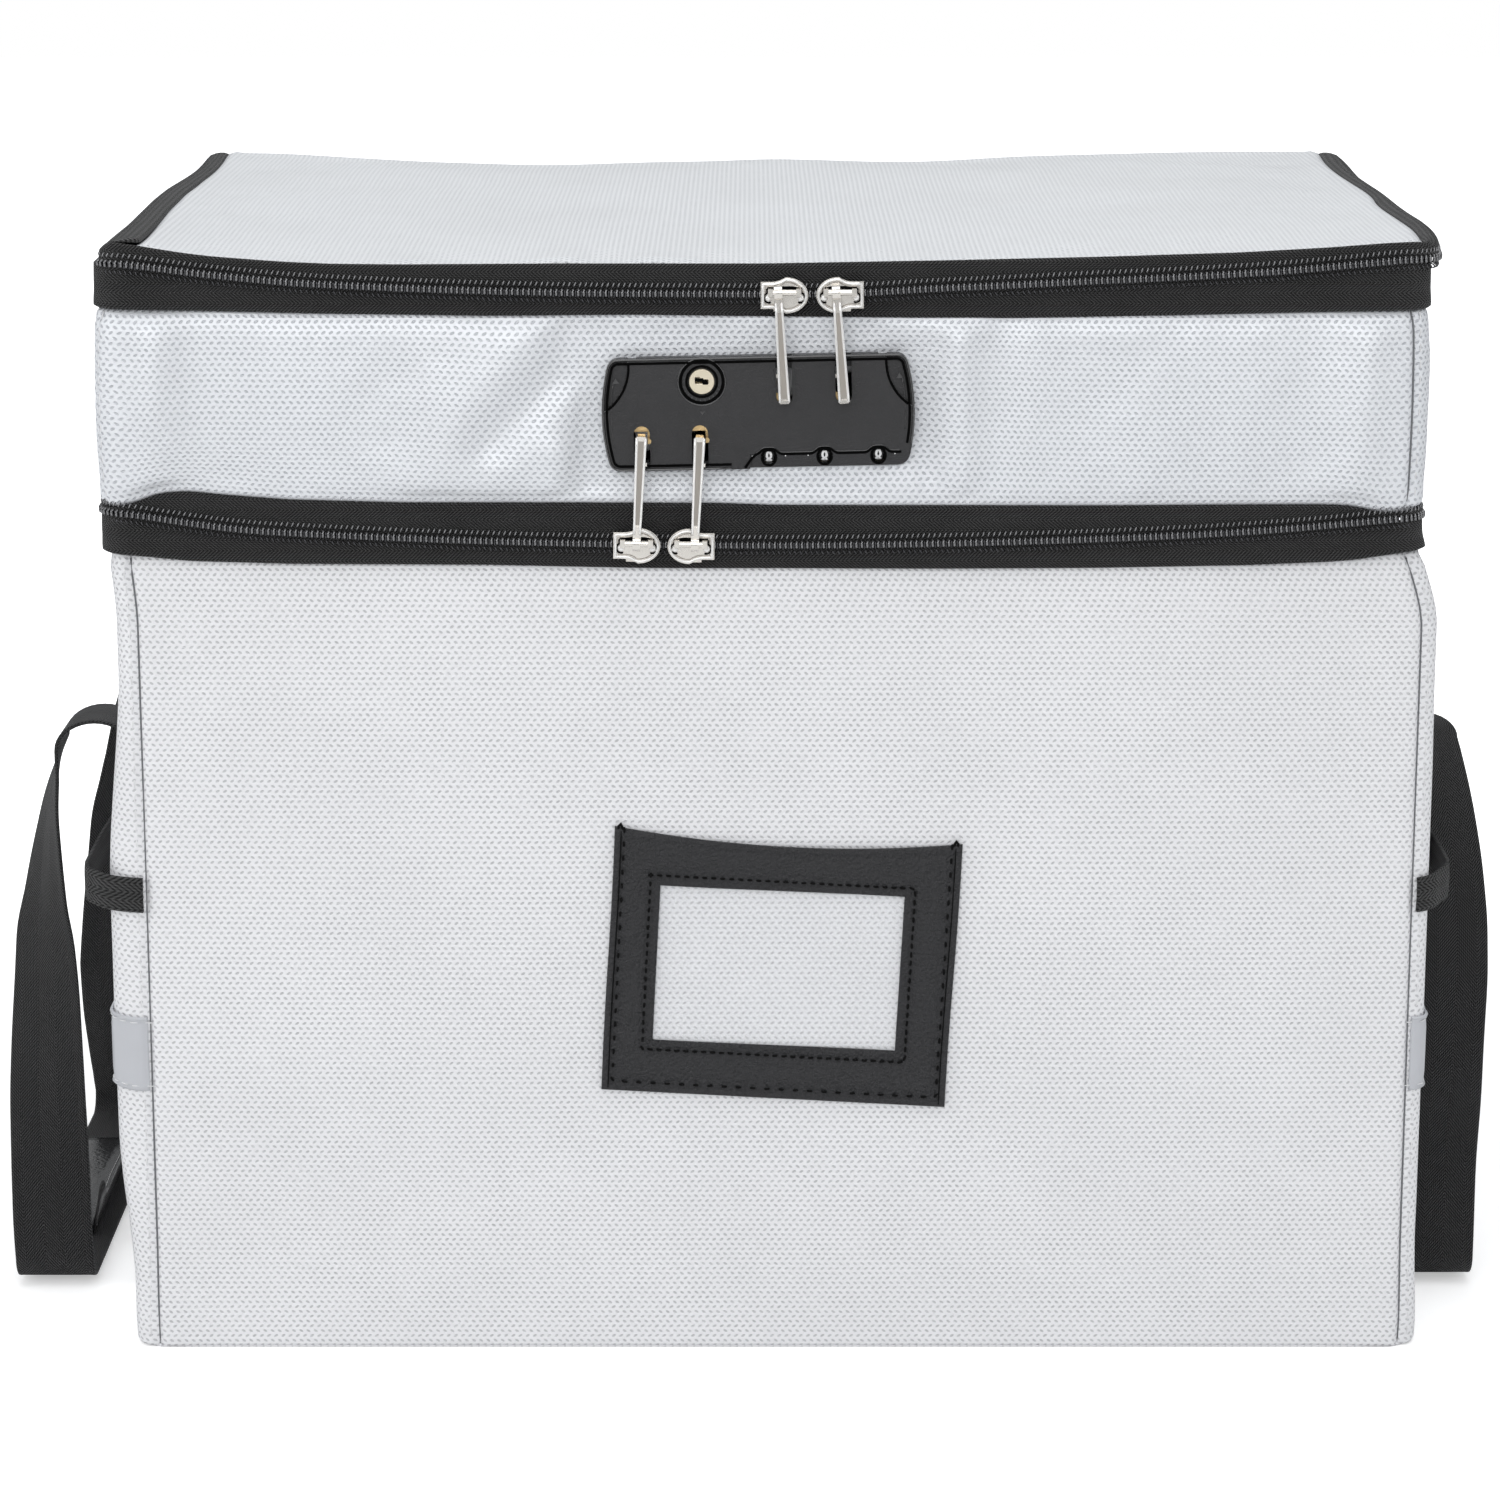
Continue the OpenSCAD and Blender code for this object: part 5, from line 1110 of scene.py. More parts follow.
def buildChains():
    # a leg leans across the tape and ends in a thicker head at the middle; the upper heads stand in front
    r, h, far, lean = coil["wire"], coil["head"], coil["reach"], coil["lean"]
    teeth = {
        1: tubeItem("tooth", [(lean, far, -0.5), (lean * 0.85, far - 0.35, 0.3), (lean * 0.55, 2.65, 0.5), (lean * 0.3, 2.25, 0.35), (0.1, 1.8, -0.9), (0, 1.25, -0.8), (0, 0.95, 0.7), (0, 0.4, 1.0), (0, -0.6, 1.0), (0, -1.0, 0.4)],
                    [r * 0.8, r, r, r, r, r, h, h, h, h * 0.7], 5),
        -1: tubeItem("tooth", [(lean, 0.35 - far, -0.6), (lean * 0.85, 0.6 - far, 0.1), (lean * 0.5, -2.45, 0.25), (lean * 0.25, -2.1, 0.1), (0.08, -1.6, -0.9), (0, -0.9, 0.1), (0, 0.5, 0.3), (0, 0.9, 0)],
                     [r * 0.7, r * 0.9, r * 0.9, r * 0.9, r * 0.9, h * 0.9, h * 0.9, h * 0.6], 5),
    }
    for zipName, nodesOf, bodiesOf in (
        ("lower", ("lower_zip_chain_base", "lower_zip_chain_tier"), ("base", "tier")),
        ("upper", ("upper_zip_chain_tier", "upper_zip_chain_lid"), ("tier", "lid"))):
        for half, node, bodyName in ((-1, nodesOf[0], bodiesOf[0]), (1, nodesOf[1], bodiesOf[1])):
            shift = 0 if half < 0 else coil["pitch"] / 2
            along = steps(-tapeEnd + shift, tapeEnd - 2.2 + shift, 3.0)
            out = coil["out"] - (coil["out"] - coil["sideOut"]) * ease(np.abs(along), cornerStarts[0] - 4, cornerStarts[0] + 10)
            line = wallPoint(along, chainHeight(zipName, along), out)
            if zipName == "upper":
                blend = ease(np.abs(along), cornerStarts[0] + 2, cornerStarts[0] + 17)
                for side, on in (("left", along < 0), ("right", along > 0)):
                    target = sideEdge(side, "outer", line[:, 1]) + (0.6 if side == "left" else -0.5)
                    line[:, 0] = np.where(on, line[:, 0] * (1 - blend) + target * blend, line[:, 0])
            p, n = outline(along)
            outward = np.concatenate([n, np.zeros((len(n), 1))], -1)
            # the upper half takes the painted highlight copy of the nylon, the lower half the painted shade copy
            piece = repeatAlong(zipName + ("LowerCoil" if half < 0 else "UpperCoil"), [(line, outward)], teeth[half], coil["pitch"], paintedHighlightNylon if half > 0 else paintedShadeNylon)
            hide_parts(node)
            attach(piece, bodyName)
    for item in teeth.values():
        bpy.data.objects.remove(item)


buildChains()

# ---------------------------------------------------------------- lid
print("stage: lid")
lid = {"frontInset": 1.7, "tuck": 1.7, "fold": 1.5, "columns": 96, "rows": 68, "flap": 371.6}
lidBack = [  # height of the cover's back edge, as (x, height) pairs
    (-222, 380.2), (-201.4, 380.3), (-185.6, 379.8), (-173.8, 379.0), (-146.1, 377.4), (-130.3, 376.6), (-114.5, 376.2), (-98.7, 375.6), (-82.9, 375.5), (-67.0, 376.0),
    (-51.2, 376.6), (-35.4, 376.9), (-19.6, 377.1), (-3.7, 378.0), (12.1, 377.8), (35.8, 377.0), (51.6, 376.7), (67.4, 377.1), (83.2, 378.1), (99.0, 379.0),
    (114.9, 379.4), (130.7, 379.8), (162.3, 380.6), (186.0, 380.8), (205.7, 380.8), (222, 380.3),
]
lidTucks = [(-118, 10, 0.9), (-107, 5, -0.9), (-68, 9, 1.7), (-54, 4.5, -2.0), (-40, 9, 1.6), (-26, 6, 0.8), (-17, 4, -1.3), (-8, 7, 0.9), (96, 7, -0.9), (114, 8, 1.0)]  # small puckers along the front seam: (x, half width, height)


def buildLid():
    u, t = np.meshgrid(np.linspace(0, 1, lid["columns"]), np.linspace(0, 1, lid["rows"]) ** 0.94)
    y = -halfD + lid["frontInset"] + t * (2 * halfD - lid["frontInset"] - 0.4)
    near, far = sideEdge("left", "inner", y) - lid["tuck"], sideEdge("right", "inner", y) + lid["tuck"]
    u = u - 0.012 * np.sin(2 * math.pi * u)  # closer columns beside the edges
    x = near + (far - near) * u
    xs, zs = np.array(lidBack).T
    back = sum(np.interp(x + d, xs, zs) for d in (-9, -4, 0, 4, 9)) / 5
    front = bandEdge("upperTop", x - body["upperShift"])
    z = front * (1 - t) + back * t
    inward = np.minimum(x - near, far - x) - lid["tuck"]  # from the tape's inner edge
    depthIn = np.minimum(t, 1 - t) * 2 * halfD
    middle = ease(np.minimum(inward, depthIn), 2, 22)
    z = z + simOut("lid", x, y, lid["fold"], -1.0) * middle
    # the cloth rolls up beside the side tapes and is puckered by the front seam
    z = z + 0.75 * np.exp(-((inward - 2.4) / 1.7) ** 2) * ease(depthIn, 0, 8) - 0.9 * (1 - ease(inward, -1.4, 0.9))
    for at, wide, high in lidTucks:
        z = z + high * np.exp(-((x - at - t * 22 * np.sign(at)) / (wide * (1 + 3 * t))) ** 2) * np.exp(-(t * 320 - 9) ** 2 / 420)
    z = z - 0.35 - 0.75 * (1 - ease(t * 320, 0, 2.2)) - 0.8 * ease(t * 320, 317.5, 320)
    limit = flatX + cornerR * np.sqrt(1 - np.clip((y - flatY) / cornerR, 0, 1) ** 2) - 0.2
    x = np.where(y > flatY, np.clip(x, body["backShift"] - limit, body["backShift"] + limit), x)
    outer = np.stack([x, y, z], -1)
    last = outer[-1:]
    flap = np.full_like(last[..., 2], lid["flap"])  # behind, it turns down under the band that joins it to the tier
    turn = [(0.5, last[..., 2] - 0.5), (0.8, last[..., 2] - 1.4), (0.8, (last[..., 2] - 1.4 + flap) / 2), (0.8, flap)]
    outer = np.concatenate([outer] + [np.stack([last[..., 0], last[..., 1] + further, lower], -1) for further, lower in turn])
    piece = thickSheet("lidCover", outer, 1.1, lidCloth, np.stack([outer[..., 0], outer[..., 1] + np.maximum(0, outer[..., 1] - halfD) * 4 - outer[..., 2] * (outer[..., 1] > halfD)], -1))
    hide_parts("lid_skin")
    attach(piece, "lid")
    u, t = np.meshgrid(np.linspace(-1, 1, 32), np.linspace(0, 1, 24))
    # lining under the lid's board
    x2 = u * (halfW - 9)
    y2 = (t - 0.5) * 2 * (halfD - 7)
    tt = (y2 + halfD) / (2 * halfD)
    z2 = 380 - 5.05 - 1.5 - 6.0 + np.tan(math.radians(0.734)) * y2 - 0.25 * np.sin(x2 / 37) * np.sin(y2 / 29)
    under = settle(np.stack([x2, y2, z2], -1))
    flip = thickSheet("lidLining", under[:, ::-1], 0.5, liningCloth, np.stack([x2, y2], -1)[:, ::-1])
    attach(flip, "lid")


buildLid()

# ---------------------------------------------------------------- label holder
print("stage: label, side trim and handles")


def onLabel(u, w, out):
    # label coordinates (across, up) to the front; a positive turn is clockwise as seen from the front
    a = math.radians(label["tilt"])
    x = label["centre"][0] + u * math.cos(a) + w * math.sin(a)
    z = label["centre"][1] - u * math.sin(a) + w * math.cos(a)
    return np.stack([x, -halfD - out + 0 * x, z], -1)


holder = {"window": (82, 54), "windowShift": (-0.9, -0.4), "sag": 4.0, "thickness": 1.6, "edge": 3.0, "stitch": 3.4}


def buildLabel():
    w, h = label["width"] / 2, label["height"] / 2
    ww, wh = holder["window"][0] / 2, holder["window"][1] / 2
    su, sw = holder["windowShift"]
    # rings from the outer edge to the window, each drawn as points round a rectangle
    count = 48
    side = np.linspace(-1, 1, count, endpoint=False)
    loop = np.concatenate([np.stack([side, -np.ones(count)], -1), np.stack([np.ones(count), side], -1),
                           np.stack([-side, np.ones(count)], -1), np.stack([-np.ones(count), -side], -1)])
    rings = []
    profile = [(0.0, 0.45), (0.0, 1.15), (0.012, 1.55), (0.04, 1.72), (0.10, 1.78), (0.16, 1.55), (0.22, 1.75), (0.35, 1.95), (0.5, 2.0), (0.65, 1.95), (0.78, 1.75), (0.84, 1.5), (0.9, 1.62), (0.96, 1.55), (0.988, 1.35), (1.0, 1.0), (1.0, 0.45)]
    for t, out in profile:
        o = np.stack([loop[:, 0] * w, loop[:, 1] * h], -1)
        top = loop[:, 1] > 0.999
        sag = holder["sag"] * (1 - np.clip(o[:, 0] / w, -1, 1) ** 2)
        o[:, 1] -= np.where(top, sag, sag * ease(o[:, 1] / h, 0.2, 1.0) * 0.9)
        o[:, 0] += 0.25 * np.sin(o[:, 1] / 17)
        i = np.stack([su + loop[:, 0] * ww, sw + loop[:, 1] * wh], -1)
        i[:, 1] += 0.25 * np.sin(i[:, 0] / 23)
        p = o * (1 - t) + i * t
        lift = out + np.where(loop[:, 1] > 0.99, 0.5 * (1 - t) * (1 - loop[:, 0] ** 2), 0)
        rings.append(onLabel(p[:, 0], p[:, 1], lift))
    grid = np.array(rings)
    n = len(loop)
    faces = [[j * n + i, j * n + (i + 1) % n, (j + 1) * n + (i + 1) % n, (j + 1) * n + i] for j in range(len(profile) - 1) for i in range(n)]
    faces += [[(len(profile) - 1) * n + i, (len(profile) - 1) * n + (i + 1) % n, (i + 1) % n, i] for i in range(n)]
    piece = meshPiece("labelFrame", grid, faces, labelLeather)
    work = bmesh.new()
    work.from_mesh(piece.data)
    bmesh.ops.recalc_face_normals(work, faces=work.faces)
    work.to_mesh(piece.data)
    work.free()
    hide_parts("label_frame")
    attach(piece, "base")
    # two rows of stitches: round three outer sides and round the window
    stitch = tubeItem("stitch", [(-0.8, 0, -0.2), (-0.65, 0, 0.16), (0, 0, 0.3), (0.65, 0, 0.16), (0.8, 0, -0.2)], [0.3, 0.4, 0.44, 0.4, 0.3], 6)
    e = holder["stitch"]

    def row(corners, out):
        pts = []
        for a, b in zip(corners[:-1], corners[1:]):
            pts += [np.array(a) + (np.array(b) - np.array(a)) * k / 12 for k in range(12)]
        pts.append(np.array(corners[-1]))
        pts = np.array(pts, float)
        return onLabel(pts[:, 0], pts[:, 1], out), np.tile([0, -1.0, 0], (len(pts), 1))

    outer = [(-w + e, h - 1.0), (-w + e, -h + e), (w - e, -h + e), (w - e, h - 1.0)]
    inner = [(su - ww - e, sw + wh + e), (su - ww - e, sw - wh - e), (su + ww + e, sw - wh - e), (su + ww + e, sw + wh + e), (su - ww - e, sw + wh + e)]
    sewn = repeatAlong("labelStitches", [row(outer, 1.72)], stitch, 4.8, threadBlack, 0.1, 5)
    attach(sewn, "base")
    sewn = repeatAlong("windowStitches", [row(inner, 1.66)], stitch, 3.0, threadBlack, 0.1, 6)
    # the two upper corners are turned under and stand out as small ears
    for side in (-1, 1):
        ear = [(side * (w - 3.6), h - 1.8), (side * (w - 2.6), h - 0.2), (side * (w - 2.0), h + 1.0), (side * (w - 1.4), h + 0.1), (side * (w - 1.2), h - 1.6)]
        ear = np.array(ear)
        tube = onLabel(ear[:, 0], ear[:, 1], 1.35)
        bead("labelEarLeft" if side < 0 else "labelEarRight", tube, [0.4, 0.55, 0.6, 0.5, 0.35], threadBlack, "black_leather", "base")
        # a dark cord down each side, painted as the shade of the leather's fold
        fold = np.linspace(h - 1.5, -h + 1.0, 30)
        bead("labelFoldLeft" if side < 0 else "labelFoldRight", onLabel(side * (w - 2.2) + 0.25 * np.sin(fold / 17), fold, 1.62), 0.26, threadBlack, "black_leather", "base", False, 6)
    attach(sewn, "base")
    bpy.data.objects.remove(stitch)
    us, ws = np.meshgrid(np.linspace(su - ww - 8, su + ww + 8, 24), np.linspace(sw - wh - 8, sw + wh + 8, 16))
    bow = 0.32 + 0.22 * np.cos((us - su) / (ww + 8) * math.pi / 2) * np.cos((ws - sw) / (wh + 8) * math.pi / 2)
    film = thickSheet("labelWindow", onLabel(us, ws, bow), 0.25, clearFilm, np.stack([us, ws], -1))
    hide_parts("label_window")
    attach(film, "base")


buildLabel()

# ---------------------------------------------------------------- side bands, reflectors and seam stitches
trim = {"bandHeight": 12, "bandMiddle": 161, "bandGap": 8, "stripHeight": 26, "stripMiddle": 105}


def buildSideTrim():
    for sideName, a0, a1, sign in (("left", seams["backLeft"], seams["frontLeft"] + perimeter, -1), ("right", seams["frontRight"], seams["backRight"], 1)):
        along = steps(a0 + 0.4, a1 - 0.4, 4.0, [a0 + e for e in (1, 2, 3, 4, 6, 8, 10, 12, 14)] + [a1 - e for e in (1, 2, 3, 4, 6, 8, 10, 12, 14)])
        edge = np.minimum(along - a0, a1 - along)
        gap = trim["bandGap"] * ease(edge, 3, 24) + 0.5
        share = np.linspace(-1, 1, 9)[:, None]
        lift = 2.2 * np.sin(math.pi * np.clip((along - a0) / (a1 - a0), 0, 1)) * (1 if sign else 1)
        height = trim["bandMiddle"] + share * trim["bandHeight"] / 2 + lift * ease(edge, 4, 30)
        wall = np.maximum(lowerOut(sideName, along, trim["bandMiddle"] + 0 * along), -0.3)
        out = gap + 1.1 - 0.35 * np.abs(share) ** 3 + wall
        outer = wallPoint(np.broadcast_to(along, height.shape), height, out)
        piece = thickSheet(sideName + "SideBand", outer, 1.1, bandWebbing, np.stack([np.broadcast_to(along, height.shape), height], -1))
        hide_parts(sideName + "_side_band")
        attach(piece, "base")
        share = np.array([-1, -0.985, -0.95, -0.88, -0.8, -0.6, -0.3, 0, 0.3, 0.6, 0.8, 0.88, 0.95, 0.985, 1.0])[:, None]
        fine = softNoise(40 + sign, 34, -1, 1)
        height = trim["stripMiddle"] + share * trim["stripHeight"] / 2 + 0.35 * fine(along, 2.0) * np.abs(share)
        wall = lowerOut(sideName, along + 0 * share, height)
        out = wall + 0.95 - 0.55 * np.exp(-((1 - np.abs(share)) / 0.05) ** 2) - 0.4 * np.exp(-((0.86 - np.abs(share)) / 0.05) ** 2) + 0.7 * np.exp(-((0.95 - np.abs(share)) / 0.05) ** 2)
        out = out + 0.25 * np.sin(2 * math.pi * along / 5.0) * np.exp(-((0.86 - np.abs(share)) / 0.09) ** 2) + 0.2 * np.maximum(fine(along, 5 + share * 2), 0)
        strip = thickSheet(sideName + "Reflector", wallPoint(np.broadcast_to(along, height.shape), height, out), 0.7, reflectorTape, np.stack([np.broadcast_to(along, height.shape), height], -1))
        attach(strip, "base")
        if sign < 0:
            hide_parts("reflector_strips")
        stitch = tubeItem("stitch", [(-1.5, 0, -0.25), (-1.25, 0, 0.05), (0, 0, 0.16), (1.25, 0, 0.05), (1.5, 0, -0.25)], [0.16, 0.2, 0.22, 0.2, 0.16], 5)
        rows = []
        p, n = outline(along)
        outward = np.concatenate([n, np.zeros((len(n), 1))], -1)
        for s in (-1, 1):
            level = trim["stripMiddle"] + s * trim["stripHeight"] / 2 * 0.86 + 0 * along
            rows.append((wallPoint(along, level, lowerOut(sideName, along, level) + 0.8), outward))
        sewn = repeatAlong(sideName + "ReflectorStitches", rows, stitch, 5.0, threadWhite, 0.08, 9)
        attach(sewn, "base")
        bpy.data.objects.remove(stitch)


buildSideTrim()


def buildSeamStitches():
    stitch = tubeItem("stitch", [(-1.45, 0, -0.3), (-1.2, 0, 0.02), (0, 0, 0.16), (1.2, 0, 0.02), (1.45, 0, -0.3)], [0.16, 0.22, 0.24, 0.22, 0.16], 5)
    for name, ranges, where, low, high, outOf, bodyName, slot in (
        ("lowerSeamStitches", panelRanges, ((seams["frontLeft"] - 2.4, "left"), (seams["frontRight"] + 2.4, "right")), 6, 270, lowerOut, "base", "silver_cloth"),
        ("tierSeamStitches", tierRanges, ((tierSeams["frontLeft"] + 3.2, "front"), (tierSeams["frontRight"] + 2.4, "right")), 298, 356, tierOut, "tier", "tier_cloth")):
        paths = []
        for along, side in where:
            height = np.linspace(low, high, 60)
            at = along + perimeter if (side == "left" and along < 0) else along
            out = outOf(side, np.full(60, float(at)), height)
            p, n = outline(np.full(60, float(along)))
            paths.append((wallPoint(np.full(60, float(along)), height, out), np.concatenate([n, np.zeros((60, 1))], -1)))
        for seam, side in (("frontLeft", "front"), ("frontRight", "front"), ("backLeft", "back"), ("backRight", "back")):  # the gap of the seam itself, drawn as a grey cord of painted shade
            if bodyName == "tier" and seam == "frontLeft":
                continue
            at = ranges[side][0] if seam in ("frontLeft", "backRight") else ranges[side][1]
            height = np.linspace(low - 3, high + (5.5 if bodyName == "base" else 3), 50)
            path = wallPoint(np.full(50, float(at)), height, outOf(side, np.full(50, float(at)), height) + 0.12)
            bead(name.replace("Stitches", "") + seam[0].upper() + seam[1:], path, 0.33, seamGrey, slot, bodyName, False, 6)
        piece = repeatAlong(name, paths, stitch, 5.0, threadWhite, 0.07, 13)
        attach(piece, bodyName)
    bpy.data.objects.remove(stitch)


buildSeamStitches()

# ---------------------------------------------------------------- handles
handle = {
    "width": 28, "thickness": 1.4, "strand": 92, "foot": 42, "leave": 198, "loop": 3.2, "footRadius": 8,
    # where each strand hangs (height, distance from the middle) and how far it has turned (height, degrees)
    "left": {"turn": 13.5, "rise": 10.4, "out": 35.5, "twist": 130, "bulge": 8, "turned": 0,
             "hang": [(198, 248), (190, 249.3), (177, 252.3), (156, 254.4), (134, 256.0), (112, 256.1), (90, 256.8), (68, 257.3), (45, 257.2), (23, 256.4), (11, 255.5)],
             "angle": [(198, 0), (186, 11), (169, 21.5), (156, 30), (139, 41), (131, 52), (105, 64), (68, 80), (40, 90)]},
    "right": {"turn": 4.4, "rise": 7.4, "out": 16.5, "twist": 120, "bulge": 5, "turned": 50,
              "hang": [(198, 229.5), (188, 231.0), (177, 232.8), (156, 235.9), (134, 238.3), (112, 239.0), (90, 238.4), (68, 238.2), (45, 237.2), (11, 236.5)],
              "angle": [(198, 50), (186, 61), (172, 70), (150, 80), (120, 87), (90, 90)]},
}


def strandSections(sideName):
    # middle points, width directions and thickness directions from the sewn foot to the bottom of the loop
    h, s = handle, handle[sideName]
    webX = halfW + h["thickness"] / 2
    turnX, hangX, lowX = webX + s["turn"], webX + 2 * s["turn"], halfW + s["out"]
    rows = []
    for z in np.linspace(h["leave"] - h["foot"], h["leave"], 9):
        rows.append(((webX, -h["strand"], z), (0, 1, 0), (-1, 0, 0)))
    for a in np.linspace(-90, 90, 19)[1:]:
        c, k = math.cos(math.radians(a)), math.sin(math.radians(a))
        b = math.radians(s["turned"] * float(ease(a, -60, 90)))
        rows.append(((turnX + s["turn"] * k, -h["strand"], h["leave"] + s["rise"] * c), (math.sin(b), math.cos(b), 0), (k * math.cos(b), -k * math.sin(b), c)))
    bottom = h["loop"] + h["footRadius"]
    zs, xs = np.array(s["hang"][::-1]).T
    za, angles = np.array(s["angle"][::-1]).T
    for z in np.linspace(h["leave"], bottom, 48)[1:-1]:
        near = [z + d for d in (-5, -2.5, 0, 2.5, 5)]
        a = math.radians(float(np.mean(np.interp(near, za, angles))))
        x = float(np.mean(np.interp(near, zs, xs))) + (0.5 * (hangX - xs[-1]) * float(ease(z, 185, 198)))
        y = -h["strand"] - s["bulge"] * (1 - float(ease(z, 6, 52)))
        rows.append(((x, y, z), (math.sin(a), math.cos(a), 0), (math.cos(a), -math.sin(a), 0)))
    foot = -h["strand"] - s["bulge"]
    for a in np.linspace(0, 90, 8):
        c, k = math.cos(math.radians(a)), math.sin(math.radians(a))
        rows.append(((lowX, foot + h["footRadius"] * (1 - c), h["loop"] + h["footRadius"] - h["footRadius"] * k), (1, 0, 0), (0, -c, -k)))
    for y in np.linspace(foot + h["footRadius"], 0, 12)[1:]:
        rows.append(((lowX, y, h["loop"]), (1, 0, 0), (0, 0, -1)))
    return rows


def buildHandle(sideName):
    sign = 1 if sideName == "right" else -1
    half = strandSections(sideName)
    if sideName == "left":  # the strand behind hangs closer to the box
        def closer(p):
            near = 3.6 * (p[0] - halfW) / 27 if p[2] >= handle["leave"] else np.interp(p[2], (20, 66, 120, 155), (-0.5, -1.8, 1.4, 3.6))
            return p[0] - near * float(ease(-p[1], 0, 86))
        back = [((closer(p), p[1], p[2]), w, t) for p, w, t in half]
    else:
        back = half
    other = [((p[0], -p[1], p[2]), (w[0], -w[1], w[2]), (-t[0], t[1], -t[2])) for p, w, t in reversed(back[:-1])]
    rows = half + [((p[0], p[1], p[2]), (w[0], w[1], w[2]), (-t[0], -t[1], -t[2])) for p, w, t in other]
    width, thick = handle["width"] / 2, handle["thickness"] / 2
    # cross-section: flat faces with rounded selvedges
    around = [(-1, -0.35), (-0.985, -0.8), (-0.93, -1.05), (-0.86, -0.95), (-0.5, -1), (0, -1), (0.5, -1), (0.86, -0.95), (0.93, -1.05), (0.985, -0.8), (1, -0.35),
              (1, 0.35), (0.985, 0.8), (0.93, 1.05), (0.86, 0.95), (0.5, 1), (0, 1), (-0.5, 1), (-0.86, 0.95), (-0.93, 1.05), (-0.985, 0.8), (-1, 0.35)]
    points, uv, run, last = [], [], 0.0, None
    for p, w, t in rows:
        p, w, t = np.array(p, float), np.array(w, float), np.array(t, float)
        run += 0 if last is None else np.linalg.norm(p - last)
        last = p
        for a, b in around:
            q = p + w * a * width + t * b * thick
            points.append((sign * q[0], q[1], q[2]))
            uv.append((run, a * width + (60 if b > 0 else 0)))
    n = len(around)
    faces = [[j * n + i, j * n + (i + 1) % n, (j + 1) * n + (i + 1) % n, (j + 1) * n + i] for j in range(len(rows) - 1) for i in range(n)]
    faces += [list(range(n)), [(len(rows) - 1) * n + i for i in range(n)][::-1]]
    piece = meshPiece(sideName + "Webbing", points, faces, blackWebbing, uv)
    work = bmesh.new()
    work.from_mesh(piece.data)
    bmesh.ops.recalc_face_normals(work, faces=work.faces)
    work.to_mesh(piece.data)
    work.free()
    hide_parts(sideName + "_handle", "handle_ends")
    s = handle[sideName]
    top = halfW + handle["thickness"] / 2 + s["turn"]
    first, second = top - 2.5, top + 3.5
    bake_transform(piece)


for sideName in ("left", "right"):
    buildHandle(sideName)

grip = {"length": 110, "width": 31.5, "wall": 1.8, "curl": 21}


def buildGrip(sideName):
    # a sleeve of soft vinyl round the bottom of the loop; its edge beside the box stands up
    sign = 1 if sideName == "right" else -1
    lowX = halfW + handle[sideName]["out"]
    ys = np.linspace(-grip["length"] / 2, grip["length"] / 2, 40)
    wave = softNoise(51 + sign, 22, -1, 1)
    curl = grip["curl"] if sideName == "left" else 9.0
    count = 40
    points, uv = [], []
    for y in ys:
        end = 1 - abs(y) / (grip["length"] / 2)
        mouth = 1 - float(ease(end, 0, 0.1))
        for i in range(count):
            a = 2 * math.pi * i / count
            c, k = math.cos(a), math.sin(a)
            # flattened tube: wide in X, thin in Z; c = -1 is the edge beside the box
            u = np.sign(c) * abs(c) ** 0.55 * grip["width"] / 2
            v = np.sign(k) * abs(k) ** 0.8 * (2.35 + 0.35 * mouth)
            inner = ease(-u, 2, grip["width"] / 2)
            rise = curl * float(inner) ** 1.6 * (0.75 + 0.25 * mouth)
            bulge = 0.5 * float(wave(y, a * 6)) * (1 if k > 0 else 0.15)
            points.append((sign * (lowX + u + (4.0 * float(inner) ** 2 if sideName == "left" else 0)), y, 3.3 + v + rise + bulge))
            uv.append((y, a * 6))
    rows = len(ys)
    faces = [[j * count + i, j * count + (i + 1) % count, (j + 1) * count + (i + 1) % count, (j + 1) * count + i] for j in range(rows - 1) for i in range(count)]
    faces += [list(range(count)), [(rows - 1) * count + i for i in range(count)][::-1]]
    piece = meshPiece(sideName + "Grip", points, faces, gripVinyl, uv)
    work = bmesh.new()
    work.from_mesh(piece.data)
    bmesh.ops.recalc_face_normals(work, faces=work.faces)
    work.to_mesh(piece.data)
    work.free()
    low = min(p[2] for p in points)
    for v in piece.data.vertices:
        v.co.z = max(v.co.z, 0.3 * mm)
    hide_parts(sideName + "_grip")
    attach(piece, sideName + "_loop")


for sideName in ("left", "right"):
    buildGrip(sideName)


def buildHandleStitches():
    # a sewn box with a cross on each foot
    stitch = tubeItem("stitch", [(-1.0, 0, -0.25), (-0.85, 0, 0.06), (0, 0, 0.2), (0.85, 0, 0.06), (1.0, 0, -0.25)], [0.18, 0.24, 0.26, 0.24, 0.18], 5)
    paths = []
    for sign in (-1, 1):
        for y in (-handle["strand"], handle["strand"]):
            x = sign * (halfW + handle["thickness"] + 0.05)
            y0, y1, z0, z1 = y - 11, y + 11, handle["leave"] - handle["foot"] + 3, handle["leave"] - 6
            for line in ([(y0, z0), (y1, z0), (y1, z1), (y0, z1), (y0, z0)], [(y0, z0), (y1, z1)], [(y1, z0), (y0, z1)]):
                pts = []
                for a, b in zip(line[:-1], line[1:]):
                    pts += [(x, a[0] + (b[0] - a[0]) * k / 8, a[1] + (b[1] - a[1]) * k / 8) for k in range(9)]
                paths.append((np.array(pts), np.tile([sign, 0.0, 0], (len(pts), 1))))
    piece = repeatAlong("handleStitches", paths, stitch, 2.9, threadBlack, 0.05, 17)
    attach(piece, "base")
    bpy.data.objects.remove(stitch)


buildHandleStitches()

